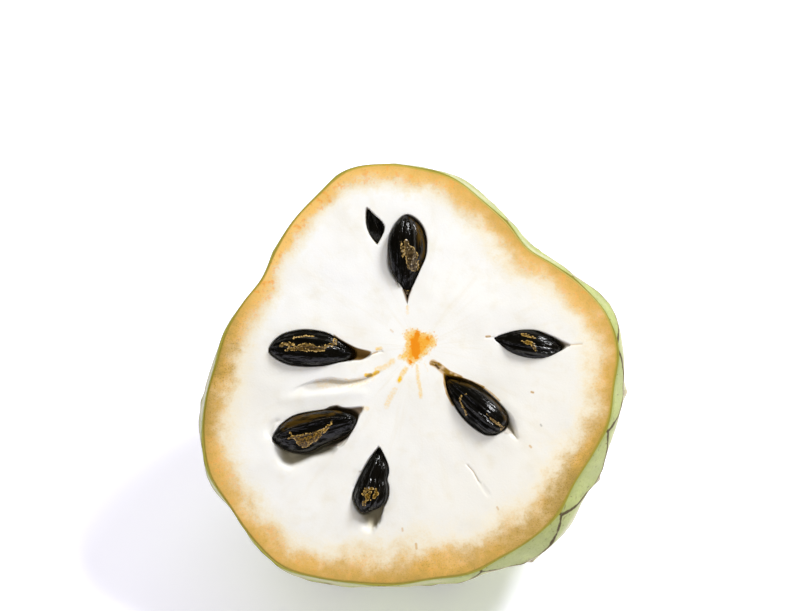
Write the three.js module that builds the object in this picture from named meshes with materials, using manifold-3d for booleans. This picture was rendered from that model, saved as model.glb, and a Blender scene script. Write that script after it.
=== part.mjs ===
// Half of a custard apple (cherimoya), cut across its core, lying on its skin with the cut face tilted up.
// Millimetres, +Z up. The origin is the middle of the small flat spot that the half rests on.
//
// Everything is modelled in the half's own frame and then tipped back as one group:
// x to the right along the cut face, y up along it, z straight out of it, with the cut face at z = 0.

import * as THREE from 'three';
import { mergeVertices } from 'three/addons/utils/BufferGeometryUtils.js';
import Module from 'manifold-3d';

const wasm = await Module();
wasm.setup();

// ---- The fruit's body ----

// Radius of the cut outline every 10 degrees, anticlockwise from the right.
const CUT_RADII = [
  45.5, 46.5, 45.8, 43.2, 40.4, 38.5, 40.1, 41.9, 44.6, 45.9, 47.2, 47.5,
  45.0, 43.0, 40.8, 39.2, 40.4, 41.9, 43.1, 45.5, 47.8, 49.5, 49.4, 50.3,
  50.9, 49.1, 47.4, 46.4, 45.5, 45.9, 45.3, 45.4, 45.1, 43.9, 44.4, 45.4,
];
const MEAN_RADIUS = 45;
const DOME_DEPTH = 66; // from the cut face to the blossom tip
const FULLNESS = 0.88; // 1 is an ellipsoid, less is fuller towards the tip
const TIP_SHIFT = { x: -3, y: 2 }; // how far the tip leans off the middle of the cut face
// How far the body swells out behind the cut every 15 degrees, and the depth over which it does.
const SWELLS = [
  3.2, 2.8, 2.2, 1.4, 1.6, 1.5, 0.4, 0.1, 0, 0, 0, 0.4,
  1.5, 1.9, 1.5, 0.5, 1.1, 1.5, 0.9, 2, 3.6, 6, 5, 3.9,
];
const SWELL_DEPTH = 4.5;

const RIND_THICKNESS = 1.7;
const GAP = 0.3; // between the rind and the flesh, and round each seed

// ---- The scales of the skin ----

// The second ring of scales: where each one's corner meets the rim, in degrees, and the share of the way from
// the rim to the tip at which its middle lies. The first ring's scales lie between those corners, and their
// middles are just past the cut, so the cut runs through them.
const RIM_SCALES = [
  [-92, 0.185], [-67, 0.185], [-39.5, 0.185], [-10.5, 0.17], [10, 0.135], [34, 0.17], [60, 0.185],
  [86, 0.185], [113, 0.185], [141, 0.185], [172, 0.19], [204.6, 0.19], [236.1, 0.19],
];
const FIRST_ALONG = -0.04;
// The other rings: the share of the way to the tip, how many scales, and the ring's turn in degrees.
const SCALE_RINGS = [
  { along: 0.45, count: 11, turn: -58 },
  { along: 0.67, count: 8, turn: -22 },
  { along: 0.85, count: 5, turn: 8 },
  { along: 0.985, count: 1, turn: 0 },
];
const SCALE_SCATTER = 0.11; // how far a scale strays from its even place, as a share of the spacing
const RIM_TO_TIP = 90; // length of the skin from the rim to the tip
const ARCH = 0.34; // how strongly a scale's far edge arches towards the tip
const SCALE_SINK = 1.2; // how far a scale's middle lies below its raised seams
const SCALE_SLOPE_WIDTH = 7.5; // width of the slope from a seam down to a scale's middle
const CREST = 0.35; // the narrow crest that stands along each seam
const CREST_WIDTH = 1.4;
const RIM_RELIEF = 0.25; // share of the relief left at the cut edge, where the outline already has it
const RIM_RELIEF_DEPTH = 8; // depth over which the relief comes in
const SNAP = 1.35; // a grid point this near to a seam is moved onto it

// ---- How the half lies ----

const FACE_ELEVATION = 42; // degrees that the cut face looks up from level
const REST_HEIGHT = 55.1; // the middle of the cut face above the surface
const REST_FORWARD = 15.5; // the middle of the cut face in front of the flat spot's middle
const REST_SIDEWAYS = 0; // and to the right of it

// ---- The seeds and the hollows they sit in ----

// at: middle of the seed on the cut face. sunk: its depth below the face. points: direction of its pointed end.
// size: length, width, thickness. hollow: the opening round the seed in the face, with its own depth.
const SEEDS = [
  {
    name: 'seed_top', at: [-2, 26.4], sunk: 0.9, points: -87, roll: 8, tilt: 2, size: [17.4, 8.3, 6.6],
    hollow: { at: [-1.7, 25.4], points: -86, size: [20.4, 9, 9] },
  },
  {
    name: 'seed_top_left', at: [-9.9, 32.3], sunk: 7.6, points: -72, roll: 60, tilt: 62, size: [17, 8, 6.2],
    hollow: { at: [-9.9, 32.5], points: -72, size: [8.2, 4.2, 7] },
  },
  {
    name: 'seed_left', at: [-22.1, 4.6], sunk: 0.9, points: 4, roll: -6, tilt: 2, size: [18.6, 8.3, 6.6],
    hollow: { at: [-20.2, 4.6], points: 0, size: [23.6, 8.8, 9.4] },
  },
  {
    name: 'seed_lower_left', at: [-20.3, -12.8], sunk: 0.7, points: 17, roll: 12, tilt: -3, size: [19, 9, 7],
    hollow: { at: [-19.6, -13.6], points: 26, size: [22.6, 11.2, 10] },
  },
  {
    name: 'seed_bottom', at: [-6.8, -23.5], sunk: 1.4, points: 79, roll: 4, tilt: 4, size: [15.6, 8.2, 6.4],
    hollow: { at: [-6.6, -25.7], points: 84, size: [20, 9.2, 8.6] },
  },
  {
    name: 'seed_lower_right', at: [15.3, -5.7], sunk: 0.8, points: 140, roll: -10, tilt: 3, size: [17.6, 8.8, 6.8],
    hollow: { at: [16.2, -6.2], points: 140, size: [21.8, 10, 9.4] },
  },
  {
    name: 'seed_right', at: [25.6, 8.3], sunk: 1.9, points: 176, roll: 74, tilt: 0, size: [16, 8.4, 6.4],
    hollow: { at: [26.6, 8.7], points: 178, size: [16.8, 6.6, 7.6] },
  },
];
const SEED_BLUNT = 0.52; // how blunt the far end is, where 0.5 is round
const SEED_POINTED = 0.7; // and the pointed end
const SEED_RISE = 0.15; // how far a hollow's mouth stands proud of the face, so that it cuts through it

// ---- Fineness of the facets ----

const SKIN_SIDES = 110;
const SKIN_RINGS = 34;
const INSIDE_SIDES = 48;
const INSIDE_RINGS = 12;
const SEED_SIDES = 14;
const SEED_STEPS = 10;
const HOLLOW_SIDES = 16;

const CREAM = new THREE.MeshStandardMaterial({ color: '#f3eee0', roughness: 0.5, metalness: 0 });
const GREEN = new THREE.MeshStandardMaterial({ color: '#b3c862', roughness: 0.55, metalness: 0 });
const DARK_BROWN = new THREE.MeshStandardMaterial({ color: '#1d1712', roughness: 0.3, metalness: 0 });

// ---- Small sums ----

const radians = THREE.MathUtils.degToRad;
const { lerp, smoothstep } = THREE.MathUtils;

// A number from 0 to 1 that looks random and is the same each time for the same n.
function scatter(n) {
  const wave = Math.sin(n * 12.9898 + 4.1414) * 437.5853;
  return wave - Math.floor(wave);
}

// The value at an angle, on a smooth closed curve through values that are evenly spaced round the face.
function roundTheFace(values, angle) {
  const count = values.length;
  const place = ((((angle / (2 * Math.PI)) % 1) + 1) % 1) * count;
  const i = Math.floor(place);
  const f = place - i;
  const [a, b, c, d] = [-1, 0, 1, 2].map((k) => values[(i + k + count) % count]);
  return b + 0.5 * f * (c - a + f * (2 * a - 5 * b + 4 * c - d + f * (3 * (b - c) + d - a)));
}

// Which way is up and how high a point is above the surface, in the half's own frame.
const faceElevation = radians(FACE_ELEVATION);
const up = new THREE.Vector3(0, Math.cos(faceElevation), Math.sin(faceElevation));
const heightOf = (point) => point.dot(up) + REST_HEIGHT;

// ---- The body's surface ----

// A point of the smooth body: angle round the face, and along from 0 at the rim to 1 at the tip.
// inset moves the surface inwards. The body is pressed flat where it rests.
function bodyPoint(angle, along, inset = 0) {
  const turn = (along * Math.PI) / 2;
  const depth = (DOME_DEPTH - inset) * Math.sin(turn);
  const swell = roundTheFace(SWELLS, angle) * (1 - Math.exp(-Math.max(0, depth) / SWELL_DEPTH));
  const outline = lerp(roundTheFace(CUT_RADII, angle), MEAN_RADIUS, smoothstep(along, 0, 0.8));
  const radius = (outline - inset + swell) * Math.pow(Math.max(0, Math.cos(turn)), FULLNESS);
  const lean = Math.sin(turn) ** 2;
  return new THREE.Vector3(
    radius * Math.cos(angle) + TIP_SHIFT.x * lean,
    radius * Math.sin(angle) + TIP_SHIFT.y * lean,
    -depth,
  );
}

function pressFlat(point, inset = 0) {
  return point.addScaledVector(up, Math.max(0, inset - heightOf(point)));
}

// ---- The scales ----

const scales = [];
function addScale(angle, along) {
  scales.push({ middle: bodyPoint(angle, along), handicap: -ARCH * along * RIM_TO_TIP });
}

for (const [i, [corner, along]] of RIM_SCALES.entries()) {
  const next = i + 1 < RIM_SCALES.length ? RIM_SCALES[i + 1][0] : RIM_SCALES[0][0] + 360;
  addScale(radians((corner + next) / 2), FIRST_ALONG);
  addScale(radians(corner), along);
}
for (const [ringIndex, ring] of SCALE_RINGS.entries()) {
  for (let i = 0; i < ring.count; i++) {
    const n = (ringIndex + 2) * 20 + i;
    const stray = (scatter(n) - 0.5) * 2 * SCALE_SCATTER;
    const strayAlong = (scatter(n + 100) - 0.5) * 2 * SCALE_SCATTER * 0.24;
    addScale(radians(ring.turn) + ((i + stray) * 2 * Math.PI) / ring.count, ring.along + strayAlong);
  }
}

// Distance from a point of the body to the nearest seam between two scales. A scale takes the points that are
// nearest to it, less a handicap that grows towards the rim, which makes its far edge an arch.
function seamDistance(point) {
  let nearest = Infinity;
  let second = Infinity;
  for (const scale of scales) {
    const reach = point.distanceTo(scale.middle) + scale.handicap;
    if (reach < nearest) {
      second = nearest;
      nearest = reach;
    } else if (reach < second) {
      second = reach;
    }
  }
  return (second - nearest) / 2;
}

// A point of the skin: the body, sunk between the seams.
function skinPoint(angle, along) {
  const point = bodyPoint(angle, along);
  const distance = seamDistance(point);
  const slope = 1 - Math.min(distance / SCALE_SLOPE_WIDTH, 1);
  const crest = CREST * Math.exp(-((distance / CREST_WIDTH) ** 2));
  const share = lerp(RIM_RELIEF, 1, smoothstep(-point.z, 0, RIM_RELIEF_DEPTH));
  const outwards = new THREE.Vector3(
    point.x / MEAN_RADIUS ** 2,
    point.y / MEAN_RADIUS ** 2,
    Math.min(point.z, 0) / DOME_DEPTH ** 2,
  );
  if (along === 0) outwards.z = 0;
  point.addScaledVector(outwards.normalize(), share * (crest - SCALE_SINK * (1 - slope * slope)));
  return pressFlat(point);
}

// Moves a grid point onto a seam that runs close by, so that the seam's crest is sharp.
function ontoSeam(angle, along) {
  const nudge = 0.3;
  for (let round = 0; round < 2; round++) {
    const here = bodyPoint(angle, along);
    const distance = seamDistance(here);
    if (distance > SNAP) return [angle, along];
    const across = bodyPoint(angle + nudge / MEAN_RADIUS, along);
    const down = bodyPoint(angle, along + nudge / RIM_TO_TIP);
    const acrossLength = across.distanceTo(here);
    const downLength = down.distanceTo(here);
    const slopeAcross = (seamDistance(across) - distance) / acrossLength;
    const slopeDown = (seamDistance(down) - distance) / downLength;
    const steepness = slopeAcross ** 2 + slopeDown ** 2;
    if (steepness < 0.1) return [angle, along];
    angle -= ((distance * slopeAcross) / steepness) * (nudge / MEAN_RADIUS / acrossLength);
    along -= ((distance * slopeDown) / steepness) * (nudge / RIM_TO_TIP / downLength);
  }
  return [angle, along];
}

// ---- Closed shapes ----

// A closed dome: a lathe whose rings are then moved onto the fruit's surface. place(angle, along) gives a point
// of the surface, and the dome's flat top lies at the height topZ.
function dome(sides, rings, topZ, place) {
  const levels = [];
  for (let j = rings; j >= 0; j--) levels.push({ along: j / rings });
  if (topZ > 0) levels.push({ top: 'rim' });
  levels.push({ top: 'middle' });
  const onAxis = (level) => level.along === 1 || level.top === 'middle';
  const outline = levels.map((level, j) => new THREE.Vector2(onAxis(level) ? 0 : 1, j));
  const geometry = new THREE.LatheGeometry(outline, sides);
  const position = geometry.attributes.position;
  for (let i = 0; i <= sides; i++) {
    const angle = ((i % sides) / sides) * 2 * Math.PI;
    levels.forEach((level, j) => {
      let point;
      if (level.top === 'middle') point = new THREE.Vector3(0, 0, topZ);
      else if (level.top === 'rim') point = place(angle, 0).setZ(topZ);
      else point = place(level.along === 1 ? 0 : angle, level.along);
      position.setXYZ(i * levels.length + j, point.x, point.y, point.z);
    });
  }
  return geometry;
}

// A seed, or the hollow for one: round in section, blunt at -Y, pointed at +Y, then flattened.
function seedShape([length, width, thickness], sides) {
  const profile = (x) => (1 + x) ** SEED_BLUNT * (1 - x) ** SEED_POINTED;
  const widest = (SEED_BLUNT - SEED_POINTED) / (SEED_BLUNT + SEED_POINTED);
  const outline = [];
  for (let j = 0; j <= SEED_STEPS; j++) {
    const x = -Math.cos((j / SEED_STEPS) * Math.PI);
    outline.push(new THREE.Vector2(j % SEED_STEPS === 0 ? 0 : profile(x) / profile(widest), x));
  }
  return new THREE.LatheGeometry(outline, sides).scale(width / 2, length / 2, thickness / 2);
}

// The place of a seed or hollow in the half's frame, as a matrix.
function seedPlace({ at, sunk = 0, points, roll = 0, tilt = 0 }) {
  const turn = new THREE.Euler(radians(-tilt), radians(roll), radians(points - 90), 'ZXY');
  const place = new THREE.Matrix4().makeRotationFromEuler(turn);
  return place.setPosition(at[0], at[1], -sunk);
}

// A solid for cutting and joining, from a closed geometry.
function toSolid(geometry) {
  const bare = geometry.clone();
  bare.deleteAttribute('normal');
  bare.deleteAttribute('uv');
  const merged = mergeVertices(bare, 1e-4);
  const corners = merged.index.array;
  const kept = [];
  for (let i = 0; i < corners.length; i += 3) {
    const [a, b, c] = corners.slice(i, i + 3);
    if (a !== b && b !== c && c !== a) kept.push(a, b, c);
  }
  const vertProperties = new Float32Array(merged.attributes.position.array);
  return new wasm.Manifold(new wasm.Mesh({ numProp: 3, vertProperties, triVerts: new Uint32Array(kept) }));
}

function toGeometry(solid) {
  const mesh = solid.getMesh();
  const geometry = new THREE.BufferGeometry();
  geometry.setAttribute('position', new THREE.BufferAttribute(new Float32Array(mesh.vertProperties), 3));
  geometry.setIndex(new THREE.BufferAttribute(new Uint32Array(mesh.triVerts), 1));
  return geometry;
}

// ---- The pieces ----

function makeRind() {
  const outside = dome(SKIN_SIDES, SKIN_RINGS, 0, (angle, along) => {
    const free = along > 0 && along < 1;
    return skinPoint(...(free ? ontoSeam(angle, along) : [angle, along]));
  });
  const inside = dome(INSIDE_SIDES, INSIDE_RINGS, 1, (angle, along) =>
    pressFlat(bodyPoint(angle, along, RIND_THICKNESS), RIND_THICKNESS));
  return toGeometry(toSolid(outside).subtract(toSolid(inside)));
}

function makeFlesh() {
  const inset = RIND_THICKNESS + GAP;
  const body = dome(INSIDE_SIDES, INSIDE_RINGS, 0, (angle, along) =>
    pressFlat(bodyPoint(angle, along, inset), inset));
  let flesh = toSolid(body);
  for (const seed of SEEDS) {
    const roomy = seed.size.map((side) => side + 3 * GAP);
    const room = seedShape(roomy, HOLLOW_SIDES).applyMatrix4(seedPlace(seed));
    const mouth = seedShape(seed.hollow.size, HOLLOW_SIDES);
    mouth.applyMatrix4(seedPlace({ ...seed.hollow, sunk: -SEED_RISE }));
    flesh = flesh.subtract(toSolid(room)).subtract(toSolid(mouth));
  }
  return toGeometry(flesh);
}

function makeSeed(seed) {
  const mesh = new THREE.Mesh(toGeometry(toSolid(seedShape(seed.size, SEED_SIDES))), DARK_BROWN);
  mesh.name = seed.name;
  mesh.applyMatrix4(seedPlace(seed));
  return mesh;
}

const half = new THREE.Group();

const rind = new THREE.Mesh(makeRind(), GREEN);
rind.name = 'rind';
half.add(rind);

const flesh = new THREE.Mesh(makeFlesh(), CREAM);
flesh.name = 'flesh';
half.add(flesh);

for (const seed of SEEDS) half.add(makeSeed(seed));

half.rotation.x = Math.PI / 2 - faceElevation;
half.position.set(REST_SIDEWAYS, -REST_FORWARD, REST_HEIGHT);

const part = new THREE.Group();
part.add(half);

export default part;
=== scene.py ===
"""Half a custard apple: its scaly rind, its custardy flesh with hollows, and seven glossy seeds.

Shapes are worked out in millimetres in the half's own frame: x to the right along the cut face, y up along
it, z straight out of it, with the cut face at z = 0. HALF_TO_WORLD then tips them back onto the floor, in
metres.
"""

import math
from collections import namedtuple
from itertools import product

import bmesh
import bpy
import numpy as np
from bpy.props import FloatProperty, FloatVectorProperty, PointerProperty
from mathutils import Matrix, Vector


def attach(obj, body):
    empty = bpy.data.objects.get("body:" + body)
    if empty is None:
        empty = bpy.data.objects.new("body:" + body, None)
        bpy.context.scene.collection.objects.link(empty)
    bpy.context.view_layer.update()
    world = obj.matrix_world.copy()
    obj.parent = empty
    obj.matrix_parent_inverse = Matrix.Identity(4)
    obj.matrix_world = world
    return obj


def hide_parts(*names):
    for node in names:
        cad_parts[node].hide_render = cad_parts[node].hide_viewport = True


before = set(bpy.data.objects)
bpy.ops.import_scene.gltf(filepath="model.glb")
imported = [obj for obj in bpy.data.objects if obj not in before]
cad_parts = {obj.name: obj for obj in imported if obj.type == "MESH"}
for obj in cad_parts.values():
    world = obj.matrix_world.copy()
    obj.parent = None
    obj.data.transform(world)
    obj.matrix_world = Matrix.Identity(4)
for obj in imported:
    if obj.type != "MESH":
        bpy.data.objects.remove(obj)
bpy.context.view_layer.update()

bl_info = {
    "name": "Custard Apple Half",
    "version": (1, 0, 0),
    "blender": (4, 5, 0),
    "location": "3D View > Sidebar > Custard Apple",
    "description": "Builds half a custard apple lying on its rind, with its seeds, on a pale floor",
    "category": "Add Mesh",
}

MM = 0.001

# ---- The fruit's body, in millimetres and degrees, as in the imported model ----

# Radius of the cut outline every 10 degrees, anticlockwise from the right.
CUT_RADII = [
    45.5, 46.5, 45.8, 43.2, 40.4, 38.5, 40.1, 41.9, 44.6, 45.9, 47.2, 47.5,
    45.0, 43.0, 40.8, 39.2, 40.4, 41.9, 43.1, 45.5, 47.8, 49.5, 49.4, 50.3,
    50.9, 49.1, 47.4, 46.4, 45.5, 45.9, 45.3, 45.4, 45.1, 43.9, 44.4, 45.4,
]
MEAN_RADIUS = 45
DOME_DEPTH = 66
FULLNESS = 0.88
TIP_SHIFT = (-3, 2)
# How far the body swells out behind the cut every 15 degrees, and the depth over which it does.
SWELLS = [
    3.2, 2.8, 2.2, 1.4, 1.6, 1.5, 0.4, 0.1, 0, 0, 0, 0.4,
    1.5, 1.9, 1.5, 0.5, 1.1, 1.5, 0.9, 2, 3.6, 6, 5, 3.9,
]
SWELL_DEPTH = 4.5
RIND_THICKNESS = 1.7
INSIDE_GAP = 0.3

# The second ring of scales: where each one's corner meets the rim, in degrees, and how far along its middle
# is. The first ring's scales lie between those corners.
RIM_SCALES = [
    (-92, 0.185), (-67, 0.185), (-39.5, 0.185), (-10.5, 0.17), (10, 0.135), (34, 0.17), (60, 0.185),
    (86, 0.185), (113, 0.185), (141, 0.185), (172, 0.19), (204.6, 0.19), (236.1, 0.19),
]
FIRST_ALONG = -0.04
ScaleRing = namedtuple("ScaleRing", "along count turn")
SCALE_RINGS = [
    ScaleRing(0.45, 11, -58),
    ScaleRing(0.67, 8, -22),
    ScaleRing(0.85, 5, 8),
    ScaleRing(0.985, 1, 0),
]
SCALE_SCATTER = 0.11  # how far a scale strays round the body, as a share of the spacing
SCALE_SCATTER_ALONG = 0.24  # and along it, as a share of that
# Scatter's numbers: how many each ring has, how much higher those along the body are, and the tones' first.
RING_DRAWS, ALONG_DRAWS, TONE_DRAWS = 20, 100, 300
RIM_TO_TIP = 90
ARCH = 0.34  # how strongly a scale's far edge arches towards the tip
SCALE_SINK = 1.2
SCALE_SLOPE_WIDTH = 7.5
CREST = 0.35
CREST_WIDTH = 1.4
RIM_RELIEF = 0.25
RIM_RELIEF_DEPTH = 8

FACE_ELEVATION = 42
REST_HEIGHT = 55.1
REST_FORWARD = 15.5

HALF_TO_WORLD = (
    Matrix.Scale(MM, 4)
    @ Matrix.Translation((0, -REST_FORWARD, REST_HEIGHT))
    @ Matrix.Rotation(math.radians(90 - FACE_ELEVATION), 4, "X")
)
UP = np.array([0, math.cos(math.radians(FACE_ELEVATION)), math.sin(math.radians(FACE_ELEVATION))])

# ---- The flesh: hollows, dents and marks of the cut face ----

# A hollow is a steep-walled opening round a seed. wall is how quickly its wall drops, and beside is its depth
# away from the seed.
Hollow = namedtuple("Hollow", "outline depth wall beside")
HOLLOWS = {
    "top": Hollow(
        [(-2.6, 35.3), (-0.1, 34.4), (1.6, 32.3), (2.4, 29.5), (2.4, 26.4), (1.4, 23.5), (0.1, 20.1),
         (-0.9, 17.6), (-1.2, 15.2), (-1.7, 17.4), (-2.8, 19.4), (-4.3, 21), (-5.6, 23.8), (-6.2, 27.3),
         (-6, 30.4), (-5, 33.1)],
        5.0, 0.5, 1.4),
    "top_left": Hollow(
        [(-11.4, 36.4), (-9.3, 34.8), (-7.4, 33.1), (-7.1, 31.5), (-8, 29.2), (-8.8, 28.2), (-10.5, 30),
         (-11.5, 32.2), (-11.7, 34.2)],
        4.0, 0.4, 1.4),
    "left": Hollow(
        [(-31.4, 3.6), (-30.2, 5.9), (-27.7, 7.7), (-23.5, 8.7), (-19.2, 8.4), (-16.8, 7.5), (-14.9, 6.5),
         (-12.2, 5.4), (-9.6, 4.5), (-8.4, 4.1), (-8.9, 3.2), (-10.2, 2.5), (-12.1, 2.1), (-15, 1.8),
         (-18.8, 0.8), (-23, 0.4), (-26.5, 0.6), (-29.6, 1.8)],
        5.0, 0.6, 1.5),
    "lower_left": Hollow(
        [(-29.5, -15.8), (-28.6, -13.8), (-27.4, -12.3), (-24.8, -10.4), (-21.5, -9.4), (-18.2, -8.7),
         (-16.9, -8), (-15.3, -7.6), (-14, -8), (-11.9, -7.8), (-9.6, -7.5), (-9.5, -8.6), (-10.3, -10),
         (-10.9, -11.7), (-11.8, -13.5), (-13.6, -16.6), (-16.6, -17.8), (-21, -19.3), (-24, -19.4),
         (-26.6, -18.8), (-28.3, -17.4)],
        5.2, 0.5, 0.9),
    "bottom": Hollow(
        [(-5.5, -16.1), (-4.3, -17.9), (-3.3, -20), (-3, -21.7), (-3.3, -23.4), (-2.8, -25), (-2.9, -27.6),
         (-4, -29.8), (-6.2, -31.2), (-8.2, -31.7), (-9.8, -30.6), (-10.9, -27.6), (-10.6, -25.5),
         (-9.5, -22.4), (-8, -19.3), (-6.4, -16.9)],
        5.0, 0.5, 1.2),
    "lower_right": Hollow(
        [(7.8, 0.6), (9.4, 0.4), (12, -0.1), (14.7, -1), (17.4, -2.6), (20.1, -4.8), (22, -6.7),
         (22.8, -8.4), (22.9, -9.6), (21.8, -11.2), (20.2, -12.1), (17.9, -12.4), (15.6, -11.4),
         (12.9, -9.4), (10.6, -6.7), (9, -4), (8.2, -1.8)],
        5.0, 0.5, 1.3),
    "right": Hollow(
        [(18.3, 9.1), (21.4, 10.5), (24.4, 11.2), (27.5, 11.3), (30.1, 10.6), (32.8, 9.6), (35.2, 8.5),
         (33.8, 7.4), (32.8, 6.8), (30.4, 5.6), (27.4, 5.1), (24.3, 5.5), (21.7, 6.4), (19.8, 7.7)],
        4.6, 0.45, 1.3),
}

# A dent is a dip with a lip pushed up round it. It reaches its depth wide in from its soft border, and
# steeply from its crisp border, where it has one; the two borders together go round it.
Dent = namedtuple("Dent", "soft crisp depth wide lip")
DENTS = [
    Dent([(-28.8, -17), (-28.4, -19.4), (-27.2, -21.5), (-24.9, -22.4), (-22.7, -21.7), (-20.1, -20.4),
          (-17.3, -19.6), (-15.4, -18.7), (-14.2, -17), (-13.6, -15.4), (-11.9, -13.3), (-14.4, -13.1),
          (-23.1, -15.3), (-27.3, -15.6)],
         [], 3.4, 2.7, 0.1),
    Dent([(-10.1, -21.6), (-11.4, -25.2), (-11.5, -27.8), (-11, -30.7), (-10, -32.8), (-8.4, -34.7),
          (-7.1, -35.7)],
         [(-6.2, -35.6), (-5.6, -34.6), (-4.6, -33.1), (-3.8, -30.5), (-3.2, -27.6), (-3.3, -25.6)],
         3.9, 4.6, 0.05),
    Dent([(21, -6.2), (22.6, -6.9), (23.9, -8.6), (24.7, -11), (25.1, -13.2), (23.5, -12.6), (21.9, -11.4),
          (20.4, -11.9), (19.6, -8.9)],
         [], 2.4, 2.0, 0.1),
    Dent([(-6.1, 29.8), (-6.3, 27.2), (-6.4, 24.5), (-5.7, 22.1), (-4.4, 20.4), (-3, 18.7), (-3.2, 22.9),
          (-4.4, 27.3)],
         [], 2.2, 1.5, 0.0),
    Dent([(-28.9, -13.9), (-28.6, -12.8), (-27.7, -12.1), (-27.1, -11.8), (-28.8, -11.4), (-30.4, -12.6),
          (-31.1, -14.6), (-30.2, -16), (-29.2, -15.4)],
         [], 0.45, 0.8, 0.1),
]

# The fold between the two left hollows, point by point along its edge: where the flesh drops steeply, how
# deep, and how far below that edge it has risen again.
Fold = namedtuple("Fold", "x y depth run")
FOLD = [
    Fold(-26.4, -5.1, 0.0, 2.0),
    Fold(-23.5, -3.5, 0.4, 3.0),
    Fold(-20.6, -2.2, 0.8, 3.8),
    Fold(-17.3, -1.5, 1.0, 4.0),
    Fold(-15.3, -1.7, 1.0, 3.6),
    Fold(-13.3, -1.8, 0.9, 2.8),
    Fold(-10.6, -1.3, 0.8, 2.0),
    Fold(-8.7, -0.7, 0.6, 1.6),
    Fold(-7.1, 0.2, 0.4, 1.2),
    Fold(-6.0, 0.8, 0.0, 1.0),
]

# A crease is a narrow cut along a line of points, or a low swelling where its depth is negative.
Crease = namedtuple("Crease", "line depth width")
CREASES = [
    Crease([(14, -19.1), (15.4, -20.4), (16.6, -22.4), (19.1, -25.3)], 0.22, 0.2),
    Crease([(18.4, 9.2), (16.6, 9)], 0.15, 0.2),
    Crease([(35, 8.5), (37.6, 8.8)], 0.1, 0.2),
    Crease([(-8.6, 4), (-6.2, 4.8)], 0.25, 0.25),
    Crease([(-27.5, -7), (-21, -5.9), (-10, -4.6)], -0.15, 1.1),
]

# Where brown skin lines the hollows, or the flesh is stained, and where brown paints shade in the fold and
# beside
# two seeds: an outline, how strongly the brown shows there and how far in from the outline it reaches that
# strength.
Skin = namedtuple("Skin", "outline strength soft")
SKINS_AND_SHADE = [
    Skin([(-17.2, 7.8), (-15.3, 7), (-13.3, 6), (-11.5, 5.3), (-8.6, 4.7), (-8.8, 3.8), (-10.4, 2.6),
          (-12.6, 2.4), (-14.2, 2.8)], 1.0, 0.3),
    Skin([(-18.2, -9.1), (-17.4, -8.6), (-15.6, -7.7), (-14.6, -8), (-12.3, -8), (-9.9, -7.6), (-9.7, -8.7),
          (-10.6, -9.9), (-10.9, -11), (-12.3, -10.8), (-14.6, -9.9)], 0.88, 0.3),
    # Brown torn skin below the lower left seed; on its shaded side it is partly painted shade.
    Skin([(-11.3, -12.9), (-12.5, -14.4), (-14.2, -16.6), (-16.4, -16.9), (-18.1, -17.5), (-16.4, -15.6),
          (-13.9, -13.9)], 0.6, 0.3),
    Skin([(7.6, 0.9), (9.7, 0.6), (12, -0.1), (13.4, -1.1), (10.7, -1.7), (8.6, -2.2),
          (7.8, -0.8)], 0.9, 0.3),
    # Brown in the hollow at the lower right seed's end, partly painted shade.
    Skin([(22, -8.3), (22.9, -9.6), (24, -11.6), (22.6, -12), (21.5, -11.4)], 0.4, 0.5),
    Skin([(30.6, 10.1), (32.2, 9.6), (35, 8.7), (32.9, 7.5), (31.4, 6.8)], 0.6, 0.3),
    Skin([(-2.5, 19), (-0.3, 19.1), (-0.7, 17.3), (-1.2, 15.5), (-2, 17.2)], 0.9, 0.3),
    Skin([(-2.2, 35.2), (0, 34.6), (1.9, 32.4), (2.7, 29.6), (2.2, 29), (0.8, 32), (-1, 33.9)], 0.45, 0.3),
    Skin([(-11.5, 36.4), (-10.7, 35.9), (-10.1, 34.3), (-11.6, 33.8)], 0.8, 0.3),
    # Painted shade: tan along the shaded upper wall of the fold between the two left hollows.
    Skin([(-24, -3.8), (-20.6, -2.2), (-17.3, -1.5), (-15.3, -1.7), (-13.3, -1.8), (-10.6, -1.3),
          (-8.7, -0.7), (-7.1, 0.2), (-8.6, -1.9), (-12.3, -3.3), (-17, -4.4), (-21.5, -5.2)], 0.3, 1.2),
]

# The core: a ragged orange patch with stronger spots, and faint orange strands that run out from it; one wide
# strand along the fold paints its shade tan.
CORE = [(-1.1, 9.3), (-0.2, 9.6), (1.5, 9.9), (2.4, 9.5), (3.8, 9.1), (5.1, 9), (5.2, 7), (4.4, 5.9),
        (4.1, 4.8), (3.2, 4.5), (2.3, 3.8), (1.9, 3.1), (0.4, 2.3), (-0.5, 2.9), (-1.2, 3.6), (-1.3, 4.9),
        (-0.9, 6), (-1, 7.6)]
HEARTS = [
    [(1.3, 9.7), (2, 9.3), (1.8, 8.2), (2.2, 6.6), (2.2, 5.1), (1.9, 3.7), (1.5, 3.4), (0.8, 3.9), (0.3, 5),
     (0.1, 6.3), (0.1, 7.6), (0.7, 8.5)],
    [(3.4, 8.5), (4, 8.4), (4.9, 9), (5, 8.7), (4.3, 8), (3.6, 7.8)],
    [(-0.3, 3.2), (0.4, 3.3), (1, 2.9), (0.6, 2.4), (0, 2.5)],
]
Strand = namedtuple("Strand", "line width strength")
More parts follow.
